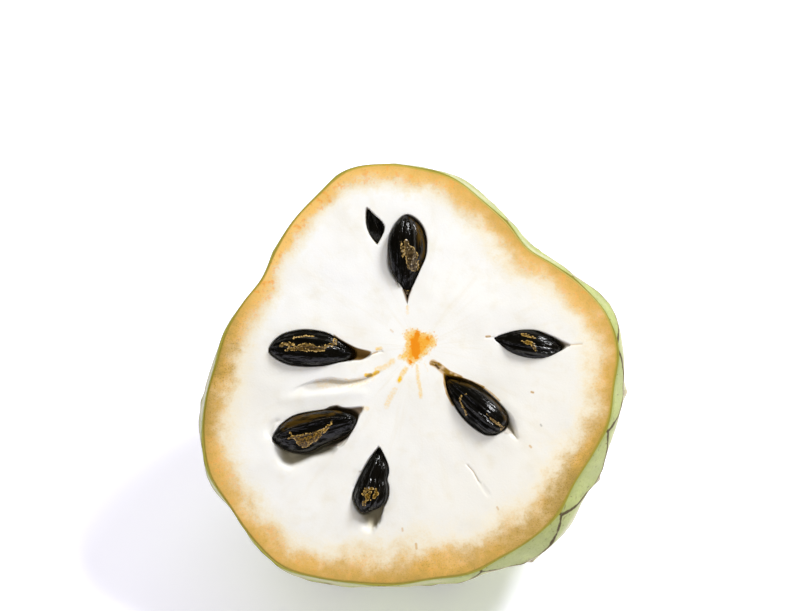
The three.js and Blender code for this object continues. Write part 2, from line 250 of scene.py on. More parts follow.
STRANDS_AND_SHADE = [
    Strand([(-1.2, 3.8), (-2.2, 3.7)], 0.8, 0.5),
    Strand([(-3.6, 2.8), (-4.6, 1.8), (-5.9, 1.1), (-7, 0.7)], 0.9, 0.45),
    Strand([(-6.8, 0.2), (-8, -0.6), (-9.4, -0.7)], 0.6, 0.8),
    Strand([(-8, -1.2), (-10, -1.8)], 0.9, 0.3),
    # Painted shade: this wide faint strand tints the fold's shaded upper wall tan.
    Strand([(-9.6, -1.8), (-12.6, -2.6), (-16.2, -2.7), (-19.8, -3.1)], 1.5, 0.34),
    Strand([(-0.6, 1.2), (-1.4, 0), (-2, -1.5)], 0.8, 0.55),
    Strand([(-1.8, -0.9), (-2, -1.5)], 0.6, 0.95),
    Strand([(-2.8, -3.4), (-3.8, -5.4), (-4.5, -7.2)], 0.9, 0.4),
    Strand([(1.8, 2), (2.1, -0.7), (2.8, -3.3), (3, -4.8)], 0.6, 0.5),
    Strand([(3.3, 2.9), (4.2, 1)], 0.3, 0.35),
    Strand([(-1.1, 14.8), (-1, 13.5)], 0.6, 0.4),
    Strand([(-7.3, 5.2), (-6.4, 5.4)], 0.6, 0.5),
    Strand([(-9.4, -7.9), (-8.7, -8.1)], 0.8, 0.4),
]
# Golden-brown threads of the skin that lines the hollows, and dark specks.
THREADS = [
    Strand([(5, 2.8), (6.4, 2.5), (7.7, 1.6), (8.9, 0.8), (11.4, -0.1)], 0.65, 0.9),
    Strand([(11.4, -0.1), (14, -0.9), (16.6, -1.9)], 0.4, 0.7),
    Strand([(16.6, -1.9), (18.4, -3), (20.3, -4.6)], 0.25, 0.45),
    Strand([(-8.2, 4.1), (-7.2, 4.6)], 0.3, 0.3),
    Strand([(17.4, 9.4), (16.6, 9.3)], 0.3, 0.5),
    Strand([(35, 8.5), (37.6, 8.8)], 0.3, 0.25),
    Strand([(14.2, -19.3), (15.4, -20.4), (16.6, -22.4)], 0.25, 0.22),
    Strand([(5.2, 2.9), (6.4, 2.3), (7.7, 1.2)], 0.9, 0.5),
    Strand([(7.9, 0.6), (8, -1.4), (8.7, -3.7), (10.1, -6.1)], 0.3, 0.6),
    Strand([(-4.5, 9.6), (-4, 9.2)], 0.35, 0.25),
    Strand([(27.2, -2.3), (27.6, -2.4)], 0.3, 0.5),
    Strand([(27.5, -14.1), (27.8, -14.4)], 0.35, 0.35),
    Strand([(21.1, -27.9), (21.4, -28.4)], 0.35, 0.3),
    Strand([(3.8, -37), (4, -38)], 0.4, 0.35),
    Strand([(0.6, -33.8), (0.7, -34.3)], 0.35, 0.3),
]
SPECKS = [
    Strand([(5.9, 2.4), (6.5, 1.8)], 0.35, 0.9),
    Strand([(-8.3, -0.5), (-9, -0.9)], 0.4, 0.6),
    Strand([(29.6, -9.3), (29.8, -9.6)], 0.22, 0.4),
]

# Width of the browned band inside the rind every 30 degrees, and how bright and how olive it is there, from 0
# to 1.
BAND_WIDTHS = [8.5, 8.5, 8.5, 6.5, 5.5, 5.5, 8.5, 8.5, 8.5, 11.5, 11, 9.5]
BAND_SUNNY = [0.15, 0.5, 0.4, 0.65, 1, 1, 0, 0.45, 0.35, 0.25, 0.2, 0.05]
BAND_OLIVE = [0.3, 0.15, 0.15, 0.15, 0, 0, 0.9, 0.3, 0.25, 0.5, 0.6, 0.95]

# ---- The seeds: their shapes, and the skin that clings to them ----

# outline: the seed seen straight on, from its blunt end round to its pointed end and back. depth: of its
# middle below the face. thick: its thickness. lean and tilt: how far its middle plane turns about its length
# and across it, in degrees. ridges: where its ridges run, from -1 to 1 across the seed.
Seed = namedtuple("Seed", "outline depth thick lean tilt ridges")
SEEDS = {
    "top": Seed(
        [(-2.6, 35.3), (-1.9, 34.8), (-0.3, 33.8), (1.3, 31.9), (2.2, 29.5), (2.2, 26.6), (1.2, 23.7),
         (-0.1, 20.1), (-1.4, 17.4), (-2.6, 19.4), (-4.2, 21), (-5.5, 23.9), (-6, 27.3), (-5.9, 30.2),
         (-4.9, 32.7), (-3.8, 34.2), (-3.1, 34.9)],
        0.7, 6.6, -16, 2, (-0.4, 0.35)),
    "top_left": Seed(
        [(-12, 37.2), (-9.1, 35.8), (-6.8, 33.4), (-6.4, 31.3), (-7.2, 28.8), (-8.6, 27.2), (-10.9, 29.4),
         (-12.1, 31.8), (-12.4, 34.6)],
        3.6, 5.4, 0, 6, (0.2,)),
    "left": Seed(
        [(-31.2, 3.6), (-30.1, 5.7), (-27.7, 7.5), (-23.5, 8.5), (-19.2, 8.2), (-16.6, 7.3), (-13.9, 5.5),
         (-12.7, 4.1), (-13.2, 3), (-15, 2.1), (-18.8, 1), (-23, 0.6), (-26.4, 0.8), (-29.4, 1.9)],
        0.9, 6.6, -6, 2, (0.1, 0.5)),
    "lower_left": Seed(
        [(-29.3, -15.8), (-28.3, -13.9), (-27.3, -12.6), (-24.8, -10.7), (-21.5, -9.7), (-17.3, -8.8),
         (-13.9, -9), (-11.8, -9.6), (-10.9, -10.6), (-11.2, -11.8), (-12, -13.2), (-14.4, -14.8),
         (-17.7, -16.4), (-21, -18.3), (-23.5, -18.6), (-26.1, -18.2), (-27.9, -17)],
        0.7, 7.0, 6, -3, (-0.05, 0.4)),
    "bottom": Seed(
        [(-8, -30.9), (-9.3, -30), (-10.7, -27.6), (-10.4, -25.5), (-9.3, -22.5), (-7.8, -19.4),
         (-6.3, -17), (-5.5, -16.2), (-4.5, -18), (-3.5, -20), (-3.2, -21.7), (-3.4, -23.4), (-3, -25),
         (-3.1, -27.6), (-4.3, -29.3), (-6.3, -30.3)],
        1.0, 6.4, -12, 10, (-0.45, 0.2)),
    "lower_right": Seed(
        [(21.9, -10.2), (22.2, -9), (22, -7.8), (20.6, -5.9), (18.3, -3.9), (15.6, -2.3), (13.4, -1.3),
         (11.2, -0.8), (8.7, -0.4), (8.4, -1.8), (9.2, -3.9), (10.7, -6.5), (13, -9.2), (15.7, -11.2),
         (17.9, -12.2), (20.1, -11.9)],
        0.8, 6.8, -6, 3, (-0.2, 0.22)),
    "right": Seed(
        [(33.2, 7.9), (32.9, 6.8), (30.6, 5.3), (27.4, 4.8), (24, 5.2), (21.2, 6.3), (18.2, 9.2),
         (21.2, 10.9), (24.4, 11.7), (27.2, 11.6), (29.6, 10.7), (31.8, 9.4)],
        1.8, 7.0, 4, 0, (0.15, 0.55)),
}

# Flanks of the seeds that brown skin still covers.
FLANKS = {
    "top": [
        [(-2.2, 35.1), (-0.1, 34.6), (1.3, 32.9), (2.4, 30.3), (2.7, 27.6), (2.4, 25), (1.4, 22.5),
         (0.4, 20.8), (0.9, 24.9), (0.4, 28.6), (-0.4, 31.5), (-1.5, 33.6)],
        [(-6.2, 25.9), (-5.3, 24.6), (-4.7, 22.4), (-3.5, 20.4), (-4.9, 20.9), (-6.1, 23.2)],
    ],
    "lower_left": [
        [(-27.8, -12.4), (-25.6, -10.9), (-22.3, -9.4), (-19.1, -8.3), (-15.1, -8.3), (-14, -9.5),
         (-18.9, -11.2), (-23.3, -12.6), (-25.4, -13.6), (-26.9, -14.2)],
    ],
    "lower_right": [
        [(22.5, -9), (22.3, -7.6), (20.8, -5.6), (18.3, -3.5), (13.4, -0.9), (8.2, 0), (8.1, -1.4),
         (11.3, -1.6), (15.7, -3), (18.6, -5), (20.9, -7.4), (21.7, -9.2)],
    ],
}

# How grey and dry the scraps on a seed are, from 0 to 1; the others are golden brown.
DULL_SCRAPS = {"top": 0.9, "left": 0.35, "lower_right": 0.2}

# Scraps of papery golden-brown skin that cling to the seeds.
FLAKES = {
    "top": [
        [(-2.4, 29.4), (-1.7, 29.3), (-1.1, 28.3), (-0.3, 27.9), (0.3, 27.1), (0.6, 25.5), (0.8, 24),
         (0.7, 23.1), (0.1, 22.9), (-0.8, 22.9), (-1.4, 23.4), (-1.8, 25), (-2.2, 26.9), (-2.4, 28.3)],
        [(-3.2, 28.9), (-2.9, 29.1), (-2.6, 27.8), (-2.4, 26), (-2.5, 25.6), (-2.8, 25.8), (-3.1, 27.3)],
        [(-2.5, 18.3), (-1.9, 18.6), (-0.8, 18.4), (-0.9, 17), (-1.4, 16), (-1.9, 17)],
    ],
    "left": [
        [(-28.5, 5), (-27.7, 5.4), (-26.4, 5.6), (-25.4, 5), (-26.4, 4.5), (-27, 4.8), (-28.4, 4.4)],
        [(-27.3, 3.8), (-26.8, 4.3), (-25.8, 4.4), (-24.5, 5), (-23.2, 5.4), (-21.7, 5.6), (-20.3, 5),
         (-19, 5.2), (-17.7, 5.9), (-16.9, 6.2), (-16.8, 6.9), (-16.2, 6.8), (-16.2, 6), (-16.8, 5.4),
         (-17.9, 5.1), (-18.7, 4.2), (-20.5, 3.8), (-23.4, 3.8), (-25.8, 3.7), (-26.8, 3.6)],
        [(-25.8, 6.4), (-25.2, 6.9), (-22.3, 7.3), (-20.7, 7.2), (-22.5, 7.1), (-24.8, 6.7)],
    ],
    "lower_left": [
        [(-23.9, -15.5), (-24.1, -15.1), (-23.4, -14.7), (-21.2, -14.2), (-18.6, -13.4), (-17.9, -13.4),
         (-18.4, -14.8), (-19.2, -15.6), (-21.3, -17.1), (-22.2, -17.4), (-23, -17.1), (-23.7, -16.2)],
        [(-18, -13.6), (-17.1, -12.3), (-16.4, -11.7), (-16.3, -11.2), (-15.9, -11.3), (-16.6, -12.7),
         (-17.9, -14.2), (-18.5, -14.8)],
        [(-25.3, -14.1), (-24.9, -14.2), (-24.6, -14.9), (-23.7, -15), (-23.8, -15.4), (-25.4, -15.5),
         (-24.9, -15.1)],
    ],
    "bottom": [
        [(-8.1, -25.7), (-6.8, -25.2), (-6.1, -25.3), (-6.2, -25.7), (-7.5, -26.1), (-7.7, -26.6),
         (-8.4, -27.2)],
        [(-5.7, -25.5), (-5.3, -25.6), (-4.9, -26.6), (-5.7, -27.5), (-6.5, -27.9), (-6, -27)],
        [(-7.8, -27.1), (-6.7, -26), (-6.4, -26.1), (-6.8, -27.6), (-7.5, -28.4), (-7.7, -29.3),
         (-8.2, -29.2), (-8.2, -28.3), (-7.6, -27.7)],
    ],
    "lower_right": [
        [(11.5, -5), (11.6, -4.3), (12.2, -3.8), (13.1, -3.6), (12.2, -4.2), (11.9, -5.2), (13.1, -7.3),
         (13.6, -8.6), (12.6, -7)],
        [(17.7, -7.7), (19.6, -9), (21.2, -10), (21, -10.3), (18.9, -8.9)],
        [(21.1, -10.5), (21.6, -10.2), (22.2, -10.6), (21.8, -11.3), (21, -11.2)],
    ],
    "right": [
        [(23.5, 10.2), (24.1, 10.4), (26.2, 10), (27.6, 9.5), (25.8, 9.6)],
        [(24.4, 8.7), (26, 8.9), (26.9, 8.6), (27.4, 8.3), (27.3, 7.8), (27.8, 6.8), (27.4, 6.8),
         (26.9, 7.5), (26.5, 7.9), (25.6, 8.1), (24.9, 8.4)],
    ],
}

# ---- Small sums ----


def linear(hex_colour):
    """An sRGB hex colour as linear red, green and blue."""
    parts = [int(hex_colour[i:i + 2], 16) / 255 for i in (1, 3, 5)]
    return [part / 12.92 if part <= 0.04045 else ((part + 0.055) / 1.055) ** 2.4 for part in parts]


# Large odd numbers that make a sine look random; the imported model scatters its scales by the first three.
SCATTER_STEP, SCATTER_START, SCATTER_SIZE = 12.9898, 4.1414, 437.5853
LATTICE_STEPS = (127.1, 311.7, 74.7)
LATTICE_SIZE = 43758.5453
SEED_SHIFT = 17.3


def scatter(n):
    """A number from 0 to 1 that looks random and is the same each time for the same n."""
    wave = math.sin(n * SCATTER_STEP + SCATTER_START) * SCATTER_SIZE
    return wave - math.floor(wave)


def smoothstep(low, high, x):
    share = np.clip((x - low) / (high - low), 0, 1)
    return share * share * (3 - 2 * share)


def mix(a, b, share):
    return a + (b - a) * share


def round_the_face(values, angle):
    """The value at an angle, on a smooth closed curve through values spaced evenly round the face."""
    values = np.asarray(values, float)
    place = (angle / (2 * math.pi)) % 1 * len(values)
    whole = np.floor(place).astype(int)
    f = place - whole
    a, b, c, d = (values[(whole + k) % len(values)] for k in (-1, 0, 1, 2))
    return b + 0.5 * f * (c - a + f * (2 * a - 5 * b + 4 * c - d + f * (3 * (b - c) + d - a)))


def smooth_outline(points, steps=5):
    """A closed smooth curve through the points."""
    points = np.asarray(points, float)
    turns = np.arange(len(points) * steps) / (len(points) * steps) * 2 * math.pi
    return np.stack([round_the_face(points[:, i], turns) for i in (0, 1)], axis=1)


def segment_distance(points, starts, ends):
    """Distance from each point to the nearest of the segments, in the plane of the face."""
    nearest = np.full(len(points), np.inf)
    for start, end in zip(starts, ends):
        run = end - start
        offset = points - start
        share = np.clip(offset @ run / max(run @ run, 1e-9), 0, 1)
        nearest = np.minimum(nearest, np.linalg.norm(offset - share[:, None] * run, axis=1))
    return nearest


def inside_distance(points, outline, reach=6):
    """How far each point is inside a closed outline, negative outside, where it is within reach of it."""
    outline = smooth_outline(outline)
    result = np.full(len(points), -float(reach))
    near = np.all((points > outline.min(0) - reach) & (points < outline.max(0) + reach), axis=1)
    close = points[near]
    starts, ends = outline, np.roll(outline, -1, axis=0)
    distance = segment_distance(close, starts, ends)
    crossings = np.zeros(len(close), int)
    for (x0, y0), (x1, y1) in zip(starts, ends):
        spans = (y0 > close[:, 1]) != (y1 > close[:, 1])
        if y1 != y0:
            crossings += spans & (close[:, 0] < (x1 - x0) * (close[:, 1] - y0) / (y1 - y0) + x0)
    result[near] = np.where(crossings % 2 == 1, distance, -distance)
    return result


def line_distance(points, line):
    line = np.asarray(line, float)
    return segment_distance(points, line[:-1], line[1:])


def rough(points, size, seed=0):
    """Smooth noise from -1 to 1 whose lumps are about size millimetres across."""
    place = points / size + seed * SEED_SHIFT
    cell = np.floor(place)
    share = smoothstep(0, 1, place - cell)
    total = np.zeros(len(points))
    for corner in product((0, 1), repeat=3):
        value = np.sin((cell + corner) @ LATTICE_STEPS) * LATTICE_SIZE
        weight = np.prod(np.where(corner, share, 1 - share), axis=1)
        total += weight * (value - np.floor(value))
    return total * 2 - 1


# ---- The body's surface ----


def body_points(angle, along, inset=0.0):
    """Points of the smooth body: angle round the face, along from 0 at the rim to 1 at the tip."""
    turn = along * math.pi / 2
    depth = (DOME_DEPTH - inset) * np.sin(turn)
    swell = round_the_face(SWELLS, angle) * (1 - np.exp(-np.maximum(0, depth) / SWELL_DEPTH))
    outline = mix(round_the_face(CUT_RADII, angle), MEAN_RADIUS, smoothstep(0, 0.8, along))
    radius = (outline - inset + swell) * np.maximum(0, np.cos(turn)) ** FULLNESS
    lean = np.sin(turn) ** 2
    return np.stack([
        radius * np.cos(angle) + TIP_SHIFT[0] * lean,
        radius * np.sin(angle) + TIP_SHIFT[1] * lean,
        -depth,
    ], axis=1)


def press_flat(points, inset=0.0):
    """Presses the body flat where it rests on the floor."""
    height = points @ UP + REST_HEIGHT
    return points + np.maximum(0, inset - height)[:, None] * UP


def outwards(points):
    """The direction straight out of the body at each of its points."""
    way = points / np.array([MEAN_RADIUS, MEAN_RADIUS, DOME_DEPTH]) ** 2
    way[:, 2] = np.minimum(way[:, 2], 0)
    return way / np.linalg.norm(way, axis=1)[:, None]


def scale_middles():
    """The middle of each scale and its handicap, which arches the scale's far edge towards the tip."""
    angles, alongs = [], []
    corners = [corner for corner, along in RIM_SCALES]
    for (corner, along), following in zip(RIM_SCALES, corners[1:] + [corners[0] + 360]):
        angles += [math.radians(corner + following) / 2, math.radians(corner)]
        alongs += [FIRST_ALONG, along]
    for index, ring in enumerate(SCALE_RINGS, start=2):
        for i in range(ring.count):
            n = index * RING_DRAWS + i
            stray = (scatter(n) - 0.5) * 2 * SCALE_SCATTER
            stray_along = (scatter(n + ALONG_DRAWS) - 0.5) * 2 * SCALE_SCATTER * SCALE_SCATTER_ALONG
            angles.append(math.radians(ring.turn) + (i + stray) * 2 * math.pi / ring.count)
            alongs.append(ring.along + stray_along)
    alongs = np.array(alongs)
    return body_points(np.array(angles), alongs), -ARCH * alongs * RIM_TO_TIP


def seam_fields(points):
    """For each point: how far the nearest seam and the nearest junction of seams are, and its scale."""
    middles, handicaps = scale_middles()
    reach = np.linalg.norm(points[:, None, :] - middles[None], axis=2) + handicaps
    order = np.argsort(reach, axis=1)[:, :3]
    first, second, third = (np.take_along_axis(reach, order[:, k:k + 1], axis=1)[:, 0] for k in range(3))
    return (second - first) / 2, (third - first) / 2, order[:, 0]


# ---- Meshes ----

MERGE_DISTANCE = 1e-5


def spun(profile, steps):
    """A mesh made by spinning a profile of (x, z) points round the z axis, with its seam and poles closed."""
    mesh = bmesh.new()
    verts = [mesh.verts.new((x, 0, z)) for x, z in profile]
    edges = [mesh.edges.new(pair) for pair in zip(verts, verts[1:])]
    bmesh.ops.spin(mesh, geom=verts + edges, cent=(0, 0, 0), axis=(0, 0, 1), angle=2 * math.pi, steps=steps,
                   use_merge=True)
    bmesh.ops.remove_doubles(mesh, verts=mesh.verts, dist=MERGE_DISTANCE)
    bmesh.ops.recalc_face_normals(mesh, faces=mesh.faces)
    return mesh


def positions(mesh):
    return np.array([vert.co[:] for vert in mesh.verts])


def move_to(mesh, points):
    for vert, point in zip(mesh.verts, points):
        vert.co = point


def edge_middles(mesh):
    return np.array([((edge.verts[0].co + edge.verts[1].co) / 2)[:] for edge in mesh.edges])


def halve_edges(mesh, chosen):
    mesh.edges.ensure_lookup_table()
    edges = [mesh.edges[i] for i in np.nonzero(chosen)[0]]
    bmesh.ops.subdivide_edges(mesh, edges=edges, cuts=1, use_grid_fill=True)


def add_object(name, data):
    thing = bpy.data.objects.new(name, data)
    bpy.context.scene.collection.objects.link(thing)
    return thing


def mesh_data(mesh, name, material):
    """The mesh data block that a bmesh becomes, which frees the bmesh."""
    data = bpy.data.meshes.new(name)
    mesh.to_mesh(data)
    mesh.free()
    data.materials.append(material)
    return data


def finish_piece(mesh, name, material, nodes, numbers, vectors):
    """Makes a bmesh in the half's frame into a smooth piece in the world that rides on the body."""
    bmesh.ops.transform(mesh, matrix=HALF_TO_WORLD, verts=mesh.verts)
    data = mesh_data(mesh, name, material)
    for title, values in numbers.items():
        layer = data.attributes.new(title, "FLOAT", "POINT")
        layer.data.foreach_set("value", np.asarray(values, np.float32))
    for title, values in vectors.items():
        layer = data.attributes.new(title, "FLOAT_VECTOR", "POINT")
        layer.data.foreach_set("vector", np.asarray(values, np.float32).ravel())
    data.shade_smooth()
    piece = add_object(name, data)
    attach(piece, "root")
    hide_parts(*nodes)


# ---- Materials ----


def add_node(tree, kind, settings=None, inputs=None):
    """Adds a node to a material, with its settings, and a value or a link for each of its inputs."""
    node = tree.nodes.new(kind)
    for key, value in (settings or {}).items():
        setattr(node, key, value)
    for key, value in (inputs or {}).items():
        if isinstance(value, bpy.types.NodeSocket):
            tree.links.new(value, node.inputs[key])
        else:
            node.inputs[key].default_value = value
    return node


def new_material(name):
    material = bpy.data.materials.new(name)
    material.use_nodes = True
    tree = material.node_tree
    tree.nodes.clear()
    return material, tree


def add_pattern(tree, sockets, roughness, noises, ragged, masks):
    """Adds noises, ragged fields and masks to the sockets that a material's colours follow.

    A noise has what it follows, the size of its lumps in millimetres, and its detail. A ragged field has its
    source, the noise that moves it, and how far. A mask has its source, where it is 0 and where it is 1.
    """
    for name, way, size, detail in noises:
        noise = add_node(tree, "ShaderNodeTexNoise", None, {
            "Vector": sockets[way], "Scale": 1 / size, "Detail": detail, "Roughness": roughness})
        sockets[name] = noise.outputs["Fac"]
    for name, source, noise, amount in ragged:
        centred = add_node(tree, "ShaderNodeMath", {"operation": "SUBTRACT"}, {0: sockets[noise], 1: 0.5})
        sockets[name] = add_node(tree, "ShaderNodeMath", {"operation": "MULTIPLY_ADD"}, {
            0: centred.outputs[0], 1: amount, 2: sockets[source]}).outputs[0]
    for name, source, low, high in masks:
        sockets[name] = add_node(tree, "ShaderNodeMapRange", {"interpolation_type": "SMOOTHSTEP"}, {
            "Value": sockets[source], "From Min": low, "From Max": high}).outputs["Result"]


def layered(tree, sockets, base, layers):
    """A colour with others laid over it in turn, each as strongly as its share times its masks."""
    colour = (*base, 1)
    for share, masks, over in layers:
        for name in masks:
            share = add_node(tree, "ShaderNodeMath", {"operation": "MULTIPLY"}, {
                0: share, 1: sockets[name]}).outputs[0]
        mixed = add_node(tree, "ShaderNodeMix", {"data_type": "RGBA"}, {0: share, 6: colour, 7: (*over, 1)})
        colour = mixed.outputs[2]
    return colour


def custard_flesh(look):
    """Raw custard apple flesh: moist, creamy and slightly see-through, so light soaks in a few millimetres.
    It browns in air, most in the band under the rind, with a granular edge; the core is stained orange."""
    material, tree = new_material("custard_apple_flesh")
    sockets = {}
    for name in ("place", "rays"):
        sockets[name] = add_node(tree, "ShaderNodeAttribute", {"attribute_name": name}).outputs["Vector"]
    for name in ("rim", "band", "sunny", "olive", "ripe", "core", "heart", "strand", "thread", "speck",
                 "membrane", "depth"):
        sockets[name] = add_node(tree, "ShaderNodeAttribute", {"attribute_name": name}).outputs["Fac"]
    # How far in from the rind each point lies, as a share of the band's width there.
    sockets["inward"] = add_node(tree, "ShaderNodeMath", {"operation": "DIVIDE"}, {
        0: sockets["rim"], 1: sockets["band"]}).outputs[0]
    add_pattern(tree, sockets, 0.6, [
        ("cloud", "place", 13, 2),
        ("wave", "place", 5, 3),
        ("clump", "place", 1.6, 3),
        ("fine", "place", 0.5, 2),
        ("grit", "place", 0.28, 1),
        ("fibre", "rays", 1, 3),
    ], [
        ("inward", "inward", "cloud", 0.7),
        ("inward", "inward", "wave", 0.75),
        ("inward", "inward", "clump", 0.35),
        ("inward", "inward", "fine", 0.35),
        ("core", "core", "clump", 2.6),
        ("core", "core", "fine", 1.4),
        ("heart", "heart", "clump", 1.2),
        ("heart", "heart", "fine", 1.2),
        ("strand", "strand", "clump", 0.4),
        ("strand", "strand", "fine", 0.55),
    ], [
        ("cloudy", "cloud", 0.4, 0.7),
        ("mottled", "wave", 0.5, 0.75),
        ("fibrous", "fibre", 0.5, 0.75),
        ("warmer", "ripe", 0.65, 1.1),
        ("cream", "inward", 1.2, 0.65),
        ("peach", "inward", 0.85, 0.4),
        ("tan", "inward", 0.62, 0.22),
        ("golden", "inward", 0.42, 0.08),
        ("deep", "inward", 0.2, -0.05),
        ("greyed", "inward", 0.75, 0.1),
        ("speckled", "fine", 0.56, 0.68),
        ("blotched", "cloud", 0.4, 0.6),
        ("gritty", "grit", 0.58, 0.7),
        ("clumped", "clump", 0.52, 0.66),
        ("edge", "rim", 0.55, 0.15),
        ("pocket", "depth", 0.4, 2.6),
        ("in_core", "core", -0.7, 0.3),
        ("core_spots", "core", 0.3, 1.3),
        ("in_heart", "heart", -0.2, 0.3),
        ("patchy", "clump", 0.3, 0.55),
        ("in_strand_and_shade", "strand", 0.12, 0.95),
        ("thread_edge", "thread", 0.08, 0.4),
        ("in_thread", "thread", 0.3, 0.75),
    ])
    colour = layered(tree, sockets, look.flesh, [
        (0.9, ["ripe"], look.warm),
        (0.4, ["warmer"], look.cream),
        (0.6, ["cloudy"], look.warm),
        (0.25, ["mottled"], look.fibre),
        (0.2, ["fibrous"], look.fibre),
        (0.9, ["cream"], look.cream),
        (0.9, ["peach"], look.peach),
        (0.95, ["tan"], look.tan),
        (0.9, ["golden"], look.golden),
        (0.35, ["deep"], look.deep_gold),
        (0.7, ["tan", "sunny"], look.amber),
        (0.75, ["peach", "clumped", "sunny"], look.orange),
        (0.7, ["greyed", "olive", "blotched"], look.olive_tan),
        (0.5, ["deep", "olive"], look.olive_tan),
        (0.3, ["peach", "speckled"], look.speck),
        (0.5, ["tan", "gritty", "olive"], look.stain),
        (0.35, ["peach", "fibrous"], look.golden),
        (0.75, ["edge"], look.edge_green),
        # Painted shade: the deeper the face lies in a hollow, dent or fold, the more it takes a shaded tan.
        (0.65, ["pocket"], look.pocket),
        (0.75, ["in_core"], look.core_pale),
        (0.9, ["core_spots"], look.core_light),
        (1.0, ["in_heart"], look.core),
        (0.6, ["in_core", "speckled"], look.core),
        # Strands, and the fold's painted shade.
        (1.0, ["in_strand_and_shade"], look.strand),
        # Brown skin, and painted shade in the fold and beside two seeds.
        (0.97, ["membrane"], look.membrane),
        (0.6, ["thread_edge"], look.thread_edge),
        (0.95, ["in_thread", "patchy"], look.thread),
        (1.0, ["speck"], look.stain),
    ])
    # Brown skin, and the painted shade laid with it, lets no light soak in and is duller than wet flesh.
    stained = add_node(tree, "ShaderNodeMath", {"operation": "ADD"}, {
        0: sockets["membrane"], 1: sockets["thread"]})
    soak = add_node(tree, "ShaderNodeMapRange", None, {
        "Value": stained.outputs[0], "To Min": 0.35, "To Max": 0.0})
    shine = add_node(tree, "ShaderNodeMapRange", None, {
        "Value": stained.outputs[0], "To Min": 0.5, "To Max": 0.05})
    bump = add_node(tree, "ShaderNodeBump", None, {
        "Strength": 0.25, "Distance": 0.1 * MM, "Height": sockets["fine"]})
    shader = add_node(tree, "ShaderNodeBsdfPrincipled", {"subsurface_method": "RANDOM_WALK"}, {
        "Base Color": colour, "Roughness": 0.5, "IOR": 1.38, "Normal": bump.outputs["Normal"],
        "Specular IOR Level": shine.outputs["Result"], "Subsurface Weight": soak.outputs["Result"],
        "Subsurface Radius": (0.95, 0.9, 0.8), "Subsurface Scale": 0.8 * MM})
    add_node(tree, "ShaderNodeOutputMaterial", None, {"Surface": shader.outputs["BSDF"]})
    return material


